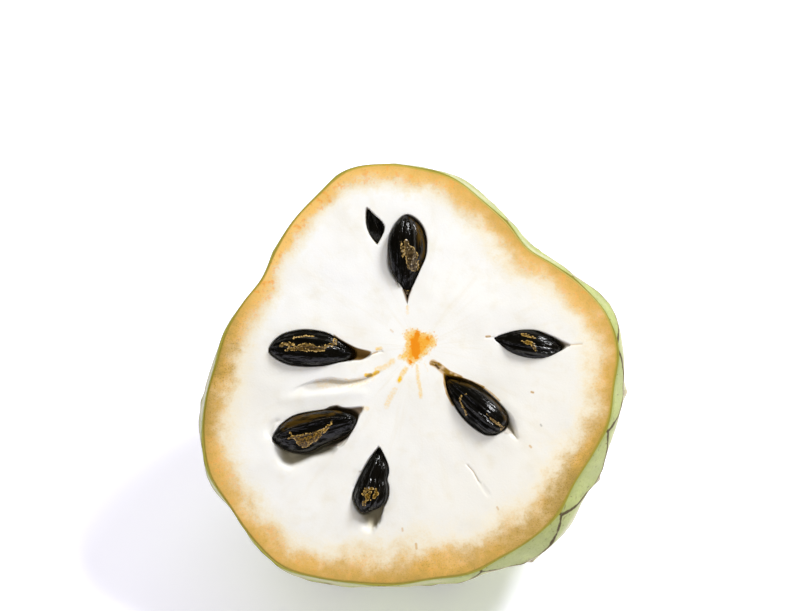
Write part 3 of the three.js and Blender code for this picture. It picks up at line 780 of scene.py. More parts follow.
def scaly_rind(look):
    """Custard apple rind: a thin satin skin, yellow-green and unevenly ripened, with corky brown seams
    between the scales, a dark scar on each scale, and scratches and flecks from handling."""
    material, tree = new_material("custard_apple_rind")
    place = add_node(tree, "ShaderNodeAttribute", {"attribute_name": "place"})
    stroke = add_node(tree, "ShaderNodeMapping", None, {
        "Vector": place.outputs["Vector"], "Rotation": (0.3, 0.5, 0.6), "Scale": (1, 0.12, 1)})
    turned = add_node(tree, "ShaderNodeLayerWeight", None, {"Blend": 0.5})
    sockets = {
        "place": place.outputs["Vector"],
        "stroke": stroke.outputs["Vector"],
        "turned": turned.outputs["Facing"],
    }
    for name in ("seam", "junction", "tone", "bloom", "scar", "cut"):
        sockets[name] = add_node(tree, "ShaderNodeAttribute", {"attribute_name": name}).outputs["Fac"]
    add_pattern(tree, sockets, 0.62, [
        ("cloud", "place", 9, 3),
        ("mottle", "place", 3, 4),
        ("wobble", "place", 2.4, 4),
        ("fleck", "place", 1.1, 2),
        ("dust", "place", 0.5, 2),
        ("scratch", "stroke", 0.8, 2),
    ], [
        ("ragged_seam", "seam", "wobble", -1.8),
        ("ragged_line", "seam", "wobble", -0.9),
        ("ragged_scar", "scar", "wobble", -1.8),
        ("ragged_junction", "junction", "wobble", -2.2),
    ], [
        ("cloudy", "cloud", 0.35, 0.7),
        ("mottled", "mottle", 0.4, 0.75),
        ("dusty", "dust", 0.5, 0.8),
        ("freckled", "dust", 0.48, 0.36),
        ("flecked", "fleck", 0.64, 0.71),
        ("scratched", "scratch", 0.66, 0.71),
        ("slope", "ragged_seam", 2.4, 0.3),
        ("halo", "ragged_seam", 1.5, 0.2),
        ("line", "ragged_line", 0.42, 0.15),
        ("crest", "seam", 0.2, 0.02),
        ("ridge", "seam", 0.5, 0.2),
        ("junction_halo", "ragged_junction", 2.6, 0.8),
        ("at_junction", "ragged_junction", 1.0, 0.4),
        ("scar_halo", "ragged_scar", 2.1, 0.9),
        ("in_scar", "ragged_scar", 1.1, 0.5),
        ("patchy", "wobble", 0.35, 0.55),
        ("away", "bloom", 1.0, 0.3),
        ("grazing", "turned", 0.62, 0.95),
        ("leaning", "turned", 0.5, 0.8),
    ])
    colour = layered(tree, sockets, look.rind, [
        (1.0, ["tone"], look.rind_pale),
        (0.7, ["cloudy"], look.rind_olive),
        (0.3, ["mottled"], look.rind_yellow),
        (0.25, ["dusty"], look.rind_pale),
        (0.35, ["slope"], look.rind_olive),
        # Grey bloom beside the cut, partly painted sheen where the rind there turns away.
        (0.85, ["bloom"], look.rind_sage),
        (0.3, ["bloom", "mottled"], look.rind_pale),
        (0.3, ["freckled"], look.rind_olive),
        (0.55, ["scratched"], look.scratch),
        (0.7, ["flecked"], look.scratch),
        (0.75, ["halo", "patchy", "away"], look.cork_halo),
        (0.8, ["junction_halo", "away"], look.cork_halo),
        (0.9, ["scar_halo"], look.cork_halo),
        (1.0, ["in_scar"], look.cork),
        (0.95, ["line"], look.cork),
        (1.0, ["at_junction", "away"], look.cork),
        (0.5, ["crest", "dusty"], look.cork_grey),
        # Painted sheen: pale where the rind is seen edge-on, and on seam ridges that lean away.
        (0.6, ["grazing"], look.rind_dust),
        (0.75, ["ridge", "leaning"], look.rind_dust),
        (1.0, ["cut"], look.rind_cut),
    ])
    roughness = add_node(tree, "ShaderNodeMapRange", None, {
        "Value": sockets["line"], "To Min": 0.42, "To Max": 0.75})
    bump = add_node(tree, "ShaderNodeBump", None, {
        "Strength": 0.35, "Distance": 0.15 * MM, "Height": sockets["dust"]})
    shader = add_node(tree, "ShaderNodeBsdfPrincipled", None, {
        "Base Color": colour, "Roughness": roughness.outputs["Result"], "IOR": 1.45,
        "Normal": bump.outputs["Normal"],
        "Subsurface Weight": 0.1, "Subsurface Radius": (0.8, 1.0, 0.4), "Subsurface Scale": 0.6 * MM})
    add_node(tree, "ShaderNodeOutputMaterial", None, {"Surface": shader.outputs["BSDF"]})
    return material


def seed_coat(look):
    """A wet custard apple seed: a hard near-black coat, glossy on its ridges and dull in its fine wrinkles,
    with scraps of golden-brown papery skin left on it."""
    material, tree = new_material("custard_apple_seed_coat")
    turned = add_node(tree, "ShaderNodeLayerWeight", None, {"Blend": 0.5})
    sockets = {"turned": turned.outputs["Facing"]}
    for name in ("grain", "place"):
        sockets[name] = add_node(tree, "ShaderNodeAttribute", {"attribute_name": name}).outputs["Vector"]
    for name in ("flake", "flank", "dull"):
        sockets[name] = add_node(tree, "ShaderNodeAttribute", {"attribute_name": name}).outputs["Fac"]
    add_pattern(tree, sockets, 0.6, [
        ("patch", "grain", 2.2, 2),
        ("wet", "grain", 0.9, 2),
        ("wrinkle", "grain", 0.5, 2),
        ("tatter", "place", 0.8, 3),
        ("crumb", "place", 0.4, 2),
    ], [
        ("torn", "flake", "tatter", -1.3),
    ], [
        ("worn", "patch", 0.45, 0.7),
        ("scrap", "torn", -0.03, 0.05),
        ("scrap_edge", "torn", 0.23, 0.09),
        ("crumpled", "crumb", 0.4, 0.58),
        ("broken", "tatter", 0.53, 0.59),
        ("glinting", "crumb", 0.6, 0.4),
        ("glittering", "crumb", 0.38, 0.28),
        ("glossy", "wet", 0.38, 0.55),
        ("facing", "turned", 0.75, 0.45),
        ("wrinkled", "wet", 0.62, 0.42),
    ])
    colour = layered(tree, sockets, look.seed, [
        (0.5, ["worn"], look.seed_worn),
        (0.9, ["flank", "wrinkled"], look.flank),
        (1.0, ["scrap"], look.flake),
        (0.85, ["scrap", "dull"], look.flake_dull),
        (0.9, ["scrap", "crumpled"], look.flake_dark),
        (0.85, ["scrap", "broken"], look.flake_dark),
        # Pale torn edges where painted glints catch them, then painted glints over the scraps, whitest on the
        # dry ones.
        (0.9, ["scrap", "scrap_edge", "glinting"], look.flake_edge),
        (0.7, ["scrap", "glittering"], look.flake_edge),
        (0.9, ["scrap", "glittering", "dull"], look.flake_glint),
    ])
    # The wet gloss lies only where no scrap does, and fades where the coat turns away.
    coat = add_node(tree, "ShaderNodeMath", {"operation": "SUBTRACT"}, {
        0: 1.0, 1: sockets["scrap"]}).outputs[0]
    for name in ("glossy", "facing"):
        coat = add_node(tree, "ShaderNodeMath", {"operation": "MULTIPLY"}, {
            0: coat, 1: sockets[name]}).outputs[0]
    gloss = add_node(tree, "ShaderNodeMapRange", None, {
        "Value": sockets["scrap"], "To Min": 0.02, "To Max": 0.3})
    bump = add_node(tree, "ShaderNodeBump", None, {
        "Strength": 1.0, "Distance": 0.14 * MM, "Height": sockets["wrinkle"]})
    shader = add_node(tree, "ShaderNodeBsdfPrincipled", None, {
        "Base Color": colour, "Roughness": 0.28, "IOR": 1.5, "Normal": bump.outputs["Normal"],
        "Specular IOR Level": gloss.outputs["Result"], "Coat Weight": coat, "Coat Roughness": 0.09,
        "Coat IOR": 1.36, "Coat Normal": bump.outputs["Normal"]})
    add_node(tree, "ShaderNodeOutputMaterial", None, {"Surface": shader.outputs["BSDF"]})
    return material


def white_paper(look):
    """Matt white studio paper, faintly lit from below by a light table."""
    material, tree = new_material("white_studio_paper")
    shader = add_node(tree, "ShaderNodeBsdfPrincipled", None, {
        "Base Color": (*look.floor, 1), "Roughness": 0.85, "Emission Color": (*look.floor, 1),
        "Emission Strength": 0.36})
    add_node(tree, "ShaderNodeOutputMaterial", None, {"Surface": shader.outputs["BSDF"]})
    return material


# ---- The rind ----

RIND_STEPS = 330
RIND_RINGS = 96
RING_CROWDING = 1.12  # above 1, the rings lie closer together towards the cut
RIND_INNER_RINGS = 16
CUT_EDGE_RINGS = 4
RIND_INNER_SHARE = 0.5  # length of an inner profile point, where an outer one is 1
OUTSIDE_FROM = 0.98  # and the length from which a point is on the outside
CUT_EDGE_SHARE = 0.1  # share of the way to the tip over which the thin edge reaches its full thickness
SEAM_REACHES = (1.0, 0.4)
# Sizes of the noise's lumps, and how much they move the surface.
WOBBLE_SIZE, WOBBLE = 6, 0.7
LUMP_SIZE, LUMP = 5, 0.12
DIMPLE_SIZE, DIMPLE = 1.6, 0.06
CREST_NOISE_SIZE, CREST_NOISE = 2.2, 0.25
WOBBLE_DEPTHS = (-2, 8)  # behind the cut, where the seams' wobble starts and is full
SCAR_OFFSET = 2.5  # from a scale's middle towards the tip
SCAR_SHRINK = 1.2  # how much smaller a scar is on a pale scale
PALEST = 0.8  # the strongest tone of a scale
CUT_FROM = 0.1  # share of the way through the rind from which it has its cut colour
# The grey bloom beside the cut is partly painted sheen.
BLOOM_AND_SHEEN_DEPTHS = (9, 4)  # behind the cut, where the grey bloom has gone and where it is full


def rind_profile():
    """Half a section through the rind, as points of a unit dome: the outside, the cut edge and the inside."""
    outer = [(1 - j / RIND_RINGS) ** RING_CROWDING * math.pi / 2 for j in range(RIND_RINGS + 1)]
    inner = [j / RIND_INNER_RINGS * math.pi / 2 for j in range(RIND_INNER_RINGS + 1)]
    profile = [(math.cos(a), -math.sin(a)) for a in outer]
    profile[0] = (0.0, -1.0)
    profile += [(mix(1, RIND_INNER_SHARE, k / CUT_EDGE_RINGS), 0.0) for k in range(1, CUT_EDGE_RINGS)]
    profile += [(RIND_INNER_SHARE * math.cos(a), -RIND_INNER_SHARE * math.sin(a)) for a in inner]
    profile[-1] = (0.0, -RIND_INNER_SHARE)
    return profile


def rind_chart(chart):
    """For points of the unit dome: the angle round the face, the share of the way to the tip, and the body's
    points without and with the wobble that the seams have."""
    angle = np.arctan2(chart[:, 1], chart[:, 0])
    along = np.arctan2(-chart[:, 2], np.hypot(chart[:, 0], chart[:, 1])) / (math.pi / 2)
    body = body_points(angle, along)
    wobble = np.stack([rough(body, WOBBLE_SIZE, k) for k in (1, 2, 3)], axis=1) * WOBBLE
    return angle, along, body, body + wobble * smoothstep(*WOBBLE_DEPTHS, -body[:, 2])[:, None]


def refine_along_seams(mesh, reach):
    """Halves the edges of the outside that lie close to a seam, so that the seam comes out crisp."""
    middles = edge_middles(mesh)
    seam, _, _ = seam_fields(rind_chart(middles)[3])
    halve_edges(mesh, (seam < reach) & (np.linalg.norm(middles, axis=1) > OUTSIDE_FROM))


def rind_relief(body, seam):
    """How far the skin stands out from the smooth body: a crest along each seam, and scales that sink between
    the seams, with lumps and dimples, all of it lower beside the cut."""
    slope = 1 - np.minimum(seam / SCALE_SLOPE_WIDTH, 1)
    lumps = rough(body, LUMP_SIZE, 4) * LUMP + rough(body, DIMPLE_SIZE, 5) * DIMPLE
    crest = (CREST + CREST_NOISE * rough(body, CREST_NOISE_SIZE, 6)) * np.exp(-(seam / CREST_WIDTH) ** 2)
    share = mix(RIM_RELIEF, 1, smoothstep(0, RIM_RELIEF_DEPTH, -body[:, 2]))
    return share * (crest - SCALE_SINK * (1 - slope ** 2) + lumps)


def scale_marks(body, scale):
    """How pale each point's scale is, and how far the point is from that scale's scar."""
    middles, _ = scale_middles()
    tones = np.array([scatter(k + TONE_DRAWS) for k in range(len(middles))])
    to_tip = np.array([*TIP_SHIFT, -DOME_DEPTH]) - middles
    scars = middles + to_tip / np.linalg.norm(to_tip, axis=1)[:, None] * SCAR_OFFSET
    tone = tones[scale]
    return tone * PALEST, np.linalg.norm(body - scars[scale], axis=1) * (1 + tone * SCAR_SHRINK)


def build_rind(size, look):
    mesh = spun(rind_profile(), RIND_STEPS)
    for reach in SEAM_REACHES:
        refine_along_seams(mesh, reach)
    chart = positions(mesh)
    angle, along, body, wobbly = rind_chart(chart)
    inwards = (1 - np.linalg.norm(chart, axis=1)) / (1 - RIND_INNER_SHARE)
    seam, junction, scale = seam_fields(wobbly)
    outside = body + outwards(body) * rind_relief(body, seam)[:, None]
    thin = mix(size.rind_at_cut / MM, RIND_THICKNESS, smoothstep(0, CUT_EDGE_SHARE, along))
    inside = body_points(angle, along, thin)
    points = mix(outside, inside, inwards[:, None])
    points = np.where((inwards < 0.5)[:, None], press_flat(points), press_flat(points, RIND_THICKNESS))
    points[:, 2] = np.where(along == 0, 0, points[:, 2])
    move_to(mesh, points)
    tone, scar = scale_marks(body, scale)
    numbers = {
        "seam": seam,
        "junction": junction,
        "tone": tone,
        "bloom": smoothstep(*BLOOM_AND_SHEEN_DEPTHS, -body[:, 2]),
        "scar": scar,
        "cut": (inwards > CUT_FROM).astype(float),
    }
    finish_piece(mesh, "rind", scaly_rind(look), ["rind"], numbers, {"place": points})


# ---- The flesh ----

FLESH_STEPS = 400
FACE_RINGS = 96
BACK_RINGS = 14
# Points less than this behind the cut are on the face: on the unit dome, and in millimetres.
DOME_TOLERANCE, FACE_TOLERANCE = 1e-6, 0.001
EDGE_REACHES = (1.1, 0.45)
BESIDE_WIDTH = 1.2  # distance from the seed at which a hollow has its depth beside it
CRISP_WIDTH = 0.5
LIP_WIDTH = 1.3
FOLD_DROP = (-0.1, 0.5)  # where the drop starts and ends, below the fold's edge
FOLD_LOWEST = 0.4
LIP_UP_TO = 0.05  # a lip only rises where the face is less deep than this
SKIN_AND_SHADE_EDGE = -0.1
# The fold's painted shade is laid with this edge too.
LINE_MARK_EDGE = (1.3, 0.3)  # in widths of a strand, where its colour starts and where it is full
# Sizes of the noise's lumps on the face, and how much they move it.
WAVE_SIZE, WAVE = 9, 0.18
GRAIN_SIZE, GRAIN = 2.5, 0.05
EVEN_RIM = 3  # width of the rim over which they fade out
CORE_MIDDLE = (1.8, 6.2)
RAYS_ROUND, RAY_LENGTH = 9, 14  # how the pattern of fibres is stretched round the core and away from it
RAYS_FROM = 0.5  # how far from the core's middle the fibres start
# The flesh is warmer and a little darker in tone to the lower right, and in a patch at the left.
WARM_WAY, WARM_REACH, WARM_SHARE = (0.75, -0.65), 35, 0.85
WARM_SPOT, WARM_SPOT_SIZE = (-40, -6), 15


def flesh_profile():
    """Half a section through the flesh as points of a unit dome: the cut face, then the back."""
    face = [(j / FACE_RINGS, 0.0) for j in range(FACE_RINGS + 1)]
    back = [j / BACK_RINGS * math.pi / 2 for j in range(1, BACK_RINGS + 1)]
    profile = face + [(math.cos(a), -math.sin(a)) for a in back]
    profile[-1] = (0.0, -1.0)
    return profile


def hollow_depth(points):
    """How deep each point of the face lies below it."""
    depth = np.zeros(len(points))
    lip = np.zeros(len(points))
    for name, hollow in HOLLOWS.items():
        inside = inside_distance(points, hollow.outline)
        beside_seed = smoothstep(0, BESIDE_WIDTH, -inside_distance(points, SEEDS[name].outline))
        floor = mix(hollow.depth, hollow.beside, beside_seed)
        depth = np.maximum(depth, floor * (1 - np.exp(-np.maximum(inside, 0) / hollow.wall)))
    for dent in DENTS:
        d = inside_distance(points, dent.soft + dent.crisp)
        drop = smoothstep(0, dent.wide, d)
        if dent.crisp:
            drop = smoothstep(0, dent.wide, line_distance(points, dent.soft)) * (d > 0)
            drop *= smoothstep(0, CRISP_WIDTH, line_distance(points, dent.crisp))
        depth = np.maximum(depth, dent.depth * drop)
        lip = np.maximum(lip, dent.lip * np.exp(-((d + LIP_WIDTH) / LIP_WIDTH) ** 2))
    places, *others = zip(*FOLD)
    y, deep, run = (np.interp(points[:, 0], places, values) for values in others)
    below = y - points[:, 1]
    depth = np.maximum(depth, deep * smoothstep(*FOLD_DROP, below) * smoothstep(run, FOLD_LOWEST, below))
    for crease in CREASES:
        d = line_distance(points, crease.line)
        depth = depth + crease.depth * np.exp(-(d / crease.width) ** 2)
    return depth - lip * (depth < LIP_UP_TO)


def refine_round_hollows(mesh, reach):
    """Halves the face's edges that lie close to the edge of a hollow, its skin or its painted shade, or to a
    thread or speck.
    """
    points = edge_middles(mesh)
    near = np.zeros(len(points), bool)
    for edged in [*HOLLOWS.values(), *SKINS_AND_SHADE]:
        near |= np.abs(inside_distance(points[:, :2], edged.outline)) < reach
    for strand in THREADS + SPECKS:
        near |= line_distance(points[:, :2], strand.line) < reach
    halve_edges(mesh, near & (points[:, 2] > -FACE_TOLERANCE))


def spread(points, strands):
    """How strongly each point is coloured by the strands that pass near it."""
    strength = np.zeros(len(points))
    for strand in strands:
        d = line_distance(points, strand.line)
        strength = np.maximum(strength, strand.strength * smoothstep(*LINE_MARK_EDGE, d / strand.width))
    return strength


def flesh_shape(chart, at_cut):
    """Where the points of the unit dome lie: on the flat cut face, or close inside the rind behind it."""
    angle = np.arctan2(chart[:, 1], chart[:, 0])
    radius = np.hypot(chart[:, 0], chart[:, 1])
    along = np.arctan2(-chart[:, 2], radius) / (math.pi / 2)
    inset = mix(at_cut, RIND_THICKNESS + INSIDE_GAP, smoothstep(0, CUT_EDGE_SHARE, along))
    back = press_flat(body_points(angle, along, inset), RIND_THICKNESS + INSIDE_GAP)
    reach = radius * (round_the_face(CUT_RADII, angle) - at_cut)
    face = np.column_stack([reach * np.cos(angle), reach * np.sin(angle), np.zeros(len(chart))])
    return np.where((chart[:, 2] < -DOME_TOLERANCE)[:, None], back, face)


def fibre_rays(flat):
    """Places stretched along rays from the core, on which noise shows as fibres."""
    offset = flat - CORE_MIDDLE
    far = np.maximum(np.linalg.norm(offset, axis=1), RAYS_FROM)
    return np.column_stack([offset / far[:, None] * RAYS_ROUND, far / RAY_LENGTH])


def flesh_marks(flat, rim, depth):
    """What colours the flesh at each point, by name: a distance in millimetres, or a share from 0 to 1."""
    angle = np.arctan2(flat[:, 1], flat[:, 0])
    warm_side = WARM_SHARE * smoothstep(-WARM_REACH, WARM_REACH, flat @ WARM_WAY)
    warm_spot = np.exp(-(np.linalg.norm(flat - WARM_SPOT, axis=1) / WARM_SPOT_SIZE) ** 2)
    membrane = [
        skin.strength * smoothstep(SKIN_AND_SHADE_EDGE, skin.soft, inside_distance(flat, skin.outline))
        for skin in SKINS_AND_SHADE]
    return {
        "rim": rim,
        "band": round_the_face(BAND_WIDTHS, angle),
        "sunny": round_the_face(BAND_SUNNY, angle),
        "olive": round_the_face(BAND_OLIVE, angle),
        "ripe": np.maximum(warm_side, warm_spot),
        "core": inside_distance(flat, CORE, reach=3),
        "heart": np.max([inside_distance(flat, outline, reach=2) for outline in HEARTS], axis=0),
        "strand": spread(flat, STRANDS_AND_SHADE),
        "thread": spread(flat, THREADS),
        "speck": spread(flat, SPECKS),
        "membrane": np.max(membrane, axis=0),
        "depth": depth,
    }


def build_flesh(size, look):
    at_cut = size.rind_at_cut / MM
    mesh = spun(flesh_profile(), FLESH_STEPS)
    move_to(mesh, flesh_shape(positions(mesh), at_cut))
    for reach in EDGE_REACHES:
        refine_round_hollows(mesh, reach)
    points = positions(mesh)
    on_face = points[:, 2] > -FACE_TOLERANCE
    flat = points[:, :2]
    depth = hollow_depth(flat)
    angle = np.arctan2(flat[:, 1], flat[:, 0])
    rim = round_the_face(CUT_RADII, angle) - at_cut - np.hypot(flat[:, 0], flat[:, 1])
    uneven = rough(points, WAVE_SIZE, 11) * WAVE + rough(points, GRAIN_SIZE, 12) * GRAIN
    uneven *= smoothstep(0, EVEN_RIM, rim)
    points[:, 2] = np.where(on_face, -depth + uneven, points[:, 2])
    move_to(mesh, points)
    numbers = flesh_marks(flat, np.where(on_face, rim, 0), depth)
    vectors = {"place": points, "rays": fibre_rays(flat)}
    finish_piece(mesh, "flesh", custard_flesh(look), ["flesh"], numbers, vectors)


# ---- The seeds ----

SEED_SIDES = 132
SEED_STATIONS = 120
# Heights in millimetres, and widths as shares of half the seed's width.
RIDGE_HEIGHT, RIDGE_WIDTH = 0.3, 0.07
GROOVE_DEPTH, GROOVE_WIDTH, GROOVE_OFFSET = 0.2, 0.09, 0.16
ENDS = 0.3  # ridges fade out where the section is thinner than this share
POLE_SIZE = 1e-4
# How closely a seed's thickness follows its width, and how round its section is.
FATNESS, ROUNDNESS = 0.8, 0.9
# Wrinkles and crumples: the size of their lumps and their height.
WRINKLE_SIZE, WRINKLE = 0.5, 0.07
WRINKLE_STRETCH = (3.2, 1.3, 2)  # along the seed, across it and up
CRUMPLE_SIZE, CRUMPLE = 0.45, 0.06
SCRAP_THICKNESS = 0.1
# Distances inside an outline where a scrap and a flank's skin start, and where they are full.
SCRAP_EDGE, FLANK_EDGE = (-0.05, 0.12), (-0.2, 0.7)
GRAIN_STRETCH = (4, 1.2)  # along the seed and across it
SEEDS_APART = 50  # so that no two seeds have the same stretch of noise


def seed_axis(outline):
    """The two ends of a seed that are furthest apart, and its unit directions along and across."""
    gaps = np.linalg.norm(outline[:, None] - outline[None], axis=2)
    first, second = np.unravel_index(np.argmax(gaps), gaps.shape)
    start, end = outline[first], outline[second]
    along = (end - start) / np.linalg.norm(end - start)
    return start, end, along, np.array([-along[1], along[0]])


def seed_widths(outline, start, along, across, stations):
    """Where the outline lies on either side of the axis, at each station along it."""
    x = (outline - start) @ along
    y = (outline - start) @ across
    high, low = np.zeros(len(stations)), np.zeros(len(stations))
    for (x0, y0), (x1, y1) in zip(zip(x, y), zip(np.roll(x, -1), np.roll(y, -1))):
        if x0 == x1:
            continue
        share = (stations - x0) / (x1 - x0)
        hit = (share >= 0) & (share <= 1)
        at = mix(y0, y1, share)
        high = np.where(hit, np.maximum(high, at), high)
        low = np.where(hit, np.minimum(low, at), low)
    return low, high


def seed_profile():
    """Half a section through a ball, from pole to pole."""
    turns = [math.pi * j / SEED_STATIONS for j in range(SEED_STATIONS + 1)]
    profile = [(math.sin(turn), -math.cos(turn)) for turn in turns]
    profile[0], profile[-1] = (0.0, -1.0), (0.0, 1.0)
    return profile


def ridge_relief(ridges, side):
    """How high the ridges stand, each with a groove beside it, from one side of the seed to the other."""
    relief = np.zeros(len(side))
    for ridge in ridges:
        off = side - ridge
        relief += RIDGE_HEIGHT * np.exp(-(off / RIDGE_WIDTH) ** 2)
        relief -= GROOVE_DEPTH * np.exp(-((off - GROOVE_OFFSET) / GROOVE_WIDTH) ** 2)
    return relief


def clinging_skin(name, flat, height):
    """How far inside a scrap of skin each point on top is, and how strongly skin covers the seed's flank."""
    flake = np.full(len(flat), -1.0)
    for outline in FLAKES.get(name, ()):
        flake = np.maximum(flake, inside_distance(flat, outline, reach=1))
    flank = np.zeros(len(flat))
    for outline in FLANKS.get(name, ()):
        flank = np.maximum(flank, smoothstep(*FLANK_EDGE, inside_distance(flat, outline, reach=2)))
    return np.where(height > 0, flake, -1), flank


def build_seed(name, seed, material):
    outline = smooth_outline(seed.outline)
    start, end, along, across = seed_axis(outline)
    length = np.linalg.norm(end - start)
    mesh = spun(seed_profile(), SEED_SIDES)
    chart = positions(mesh)
    turn = np.arctan2(chart[:, 1], chart[:, 0])
    section = np.hypot(chart[:, 0], chart[:, 1])
    off_pole = section >= POLE_SIZE
    side = np.cos(turn) * off_pole
    height = np.sin(turn) * off_pole
    station = (chart[:, 2] + 1) / 2 * length
    low, high = seed_widths(outline, start, along, across, station)
    middle, width = (low + high) / 2, high - low
    y = middle + width / 2 * side
    flat = start + along * station[:, None] + across * y[:, None]
    flake, flank = clinging_skin(name, flat, height)
    fat = (width / np.max(width)) ** FATNESS
    ends = smoothstep(0, ENDS, section)
    stretched = np.column_stack([
        station / WRINKLE_STRETCH[0], y * WRINKLE_STRETCH[1], height * WRINKLE_STRETCH[2]])
    wrinkles = rough(stretched, WRINKLE_SIZE, 20) * WRINKLE
    crumple = SCRAP_THICKNESS + CRUMPLE * rough(np.column_stack([flat, height]), CRUMPLE_SIZE, 21)
    lift = seed.thick / 2 * fat * np.sign(height) * np.abs(height) ** ROUNDNESS
    lift += np.where(height > 0, ridge_relief(seed.ridges, side) * fat * ends, 0)
    lift += wrinkles * height
    lift += crumple * smoothstep(*SCRAP_EDGE, flake)
    tilt, lean = math.tan(math.radians(seed.tilt)), math.tan(math.radians(seed.lean))
    z = lift - (station - length / 2) * tilt + (y - middle) * lean
    move_to(mesh, np.column_stack([flat, z - seed.depth]))
    bmesh.ops.recalc_face_normals(mesh, faces=mesh.faces)
    offset = scatter(sum(map(ord, name))) * SEEDS_APART
    numbers = {"flake": flake, "flank": flank, "dull": np.full(len(chart), DULL_SCRAPS.get(name, 0.0))}
    vectors = {
        "grain": np.column_stack([station / GRAIN_STRETCH[0], y * GRAIN_STRETCH[1], lift]) + offset,
        "place": np.column_stack([flat, lift]) + offset,
    }
    finish_piece(mesh, "seed_" + name, material, ["seed_" + name], numbers, vectors)


# ---- The stage ----

FLOOR_HALF_SIZE = 3.0
LIGHTS_AIM_AT = (0, -0.01, 0.05)
# Softboxes by name: place and size in metres, colour, and whether they show in what is glossy.
Softbox = namedtuple("Softbox", "place width height colour mirrored")
SOFTBOXES = {
    "key": Softbox((0.5, 0.12, 0.82), 0.25, 0.2, "#fbfcff", True),
    "fill": Softbox((-0.6, -0.1, 0.8), 0.9, 0.9, "#fffaf3", False),
    "back": Softbox((-0.1, 0.55, 0.8), 1.0, 0.5, "#ffffff", False),
}
ROOM_COLOUR = "#fffbf5"
ROOM_GLOSS = 0.15  # how strongly the room shows in what is glossy, where it lights the rest at 1
IMAGE_SIZE = (811, 611)
FACE_MIDDLE_PIXEL = (408.5, 374.5)  # where the middle of the cut face shows
CAMERA_TURN = 5  # degrees to the right of straight in front
CAMERA_ELEVATION = 39
CAMERA_DISTANCE = 0.62
CAMERA_NEAREST = 0.01
PIXEL_SIZE = 0.22 * MM  # at the middle of the cut face


def aim(thing, target):
    way = Vector(target) - thing.location
    thing.rotation_euler = way.to_track_quat("-Z", "Y").to_euler()


def add_softbox(name, box, power):
    light = bpy.data.lights.new(name, "AREA")
    light.shape = "RECTANGLE"
    light.size = box.width
    light.size_y = box.height
    light.energy = power
    light.color = linear(box.colour)
    lamp = add_object(name, light)
    lamp.location = box.place
    lamp.visible_glossy = box.mirrored
    aim(lamp, LIGHTS_AIM_AT)


def build_floor(look):
    mesh = bmesh.new()
    bmesh.ops.create_grid(mesh, x_segments=2, y_segments=2, size=FLOOR_HALF_SIZE)
    floor = add_object("floor", mesh_data(mesh, "floor", white_paper(look)))


def build_camera():
    """A camera that looks nearly straight at the cut face, whose middle shows a little below the image's."""
    data = bpy.data.cameras.new("camera")
    camera = add_object("camera", data)
    focal = CAMERA_DISTANCE / PIXEL_SIZE  # in pixels
    data.sensor_fit = "HORIZONTAL"
    data.angle = 2 * math.atan(IMAGE_SIZE[0] / 2 / focal)
    data.clip_start = CAMERA_NEAREST
    turn, elevation = math.radians(CAMERA_TURN), math.radians(CAMERA_ELEVATION)
    level = math.cos(elevation)
    back = Vector((math.sin(turn) * level, -math.cos(turn) * level, math.sin(elevation)))
    right = (-back).cross(Vector((0, 0, 1))).normalized()
    above = right.cross(-back)
    off_right = (FACE_MIDDLE_PIXEL[0] - IMAGE_SIZE[0] / 2) / focal
    off_down = (FACE_MIDDLE_PIXEL[1] - IMAGE_SIZE[1] / 2) / focal
    face_middle = HALF_TO_WORLD @ Vector((0, 0, 0))
    camera.location = face_middle - (-back + right * off_right - above * off_down) * CAMERA_DISTANCE
    camera.rotation_euler = Matrix((right, above, back)).transposed().to_euler()
    bpy.context.scene.camera = camera


def build_room(strength):
    """A white room that lights everything softly, but shows only dimly in what is glossy."""
    world = bpy.data.worlds.new("soft_white_room")
    world.use_nodes = True
    tree = world.node_tree
    tree.nodes.clear()
    ray = add_node(tree, "ShaderNodeLightPath")
    seen = add_node(tree, "ShaderNodeMapRange", None, {
        "Value": ray.outputs["Is Glossy Ray"], "To Min": strength, "To Max": strength * ROOM_GLOSS})
    room = add_node(tree, "ShaderNodeBackground", None, {
        "Color": (*linear(ROOM_COLOUR), 1), "Strength": seen.outputs["Result"]})
    add_node(tree, "ShaderNodeOutputWorld", None, {"Surface": room.outputs["Background"]})
    bpy.context.scene.world = world


def build_stage(look, light):
    build_floor(look)
    build_camera()
    build_room(light.room)
    for name, box in SOFTBOXES.items():
        add_softbox(name + "_softbox", box, getattr(light, name))
    bpy.context.scene.view_settings.view_transform = "Standard"


# ---- The add-on ----

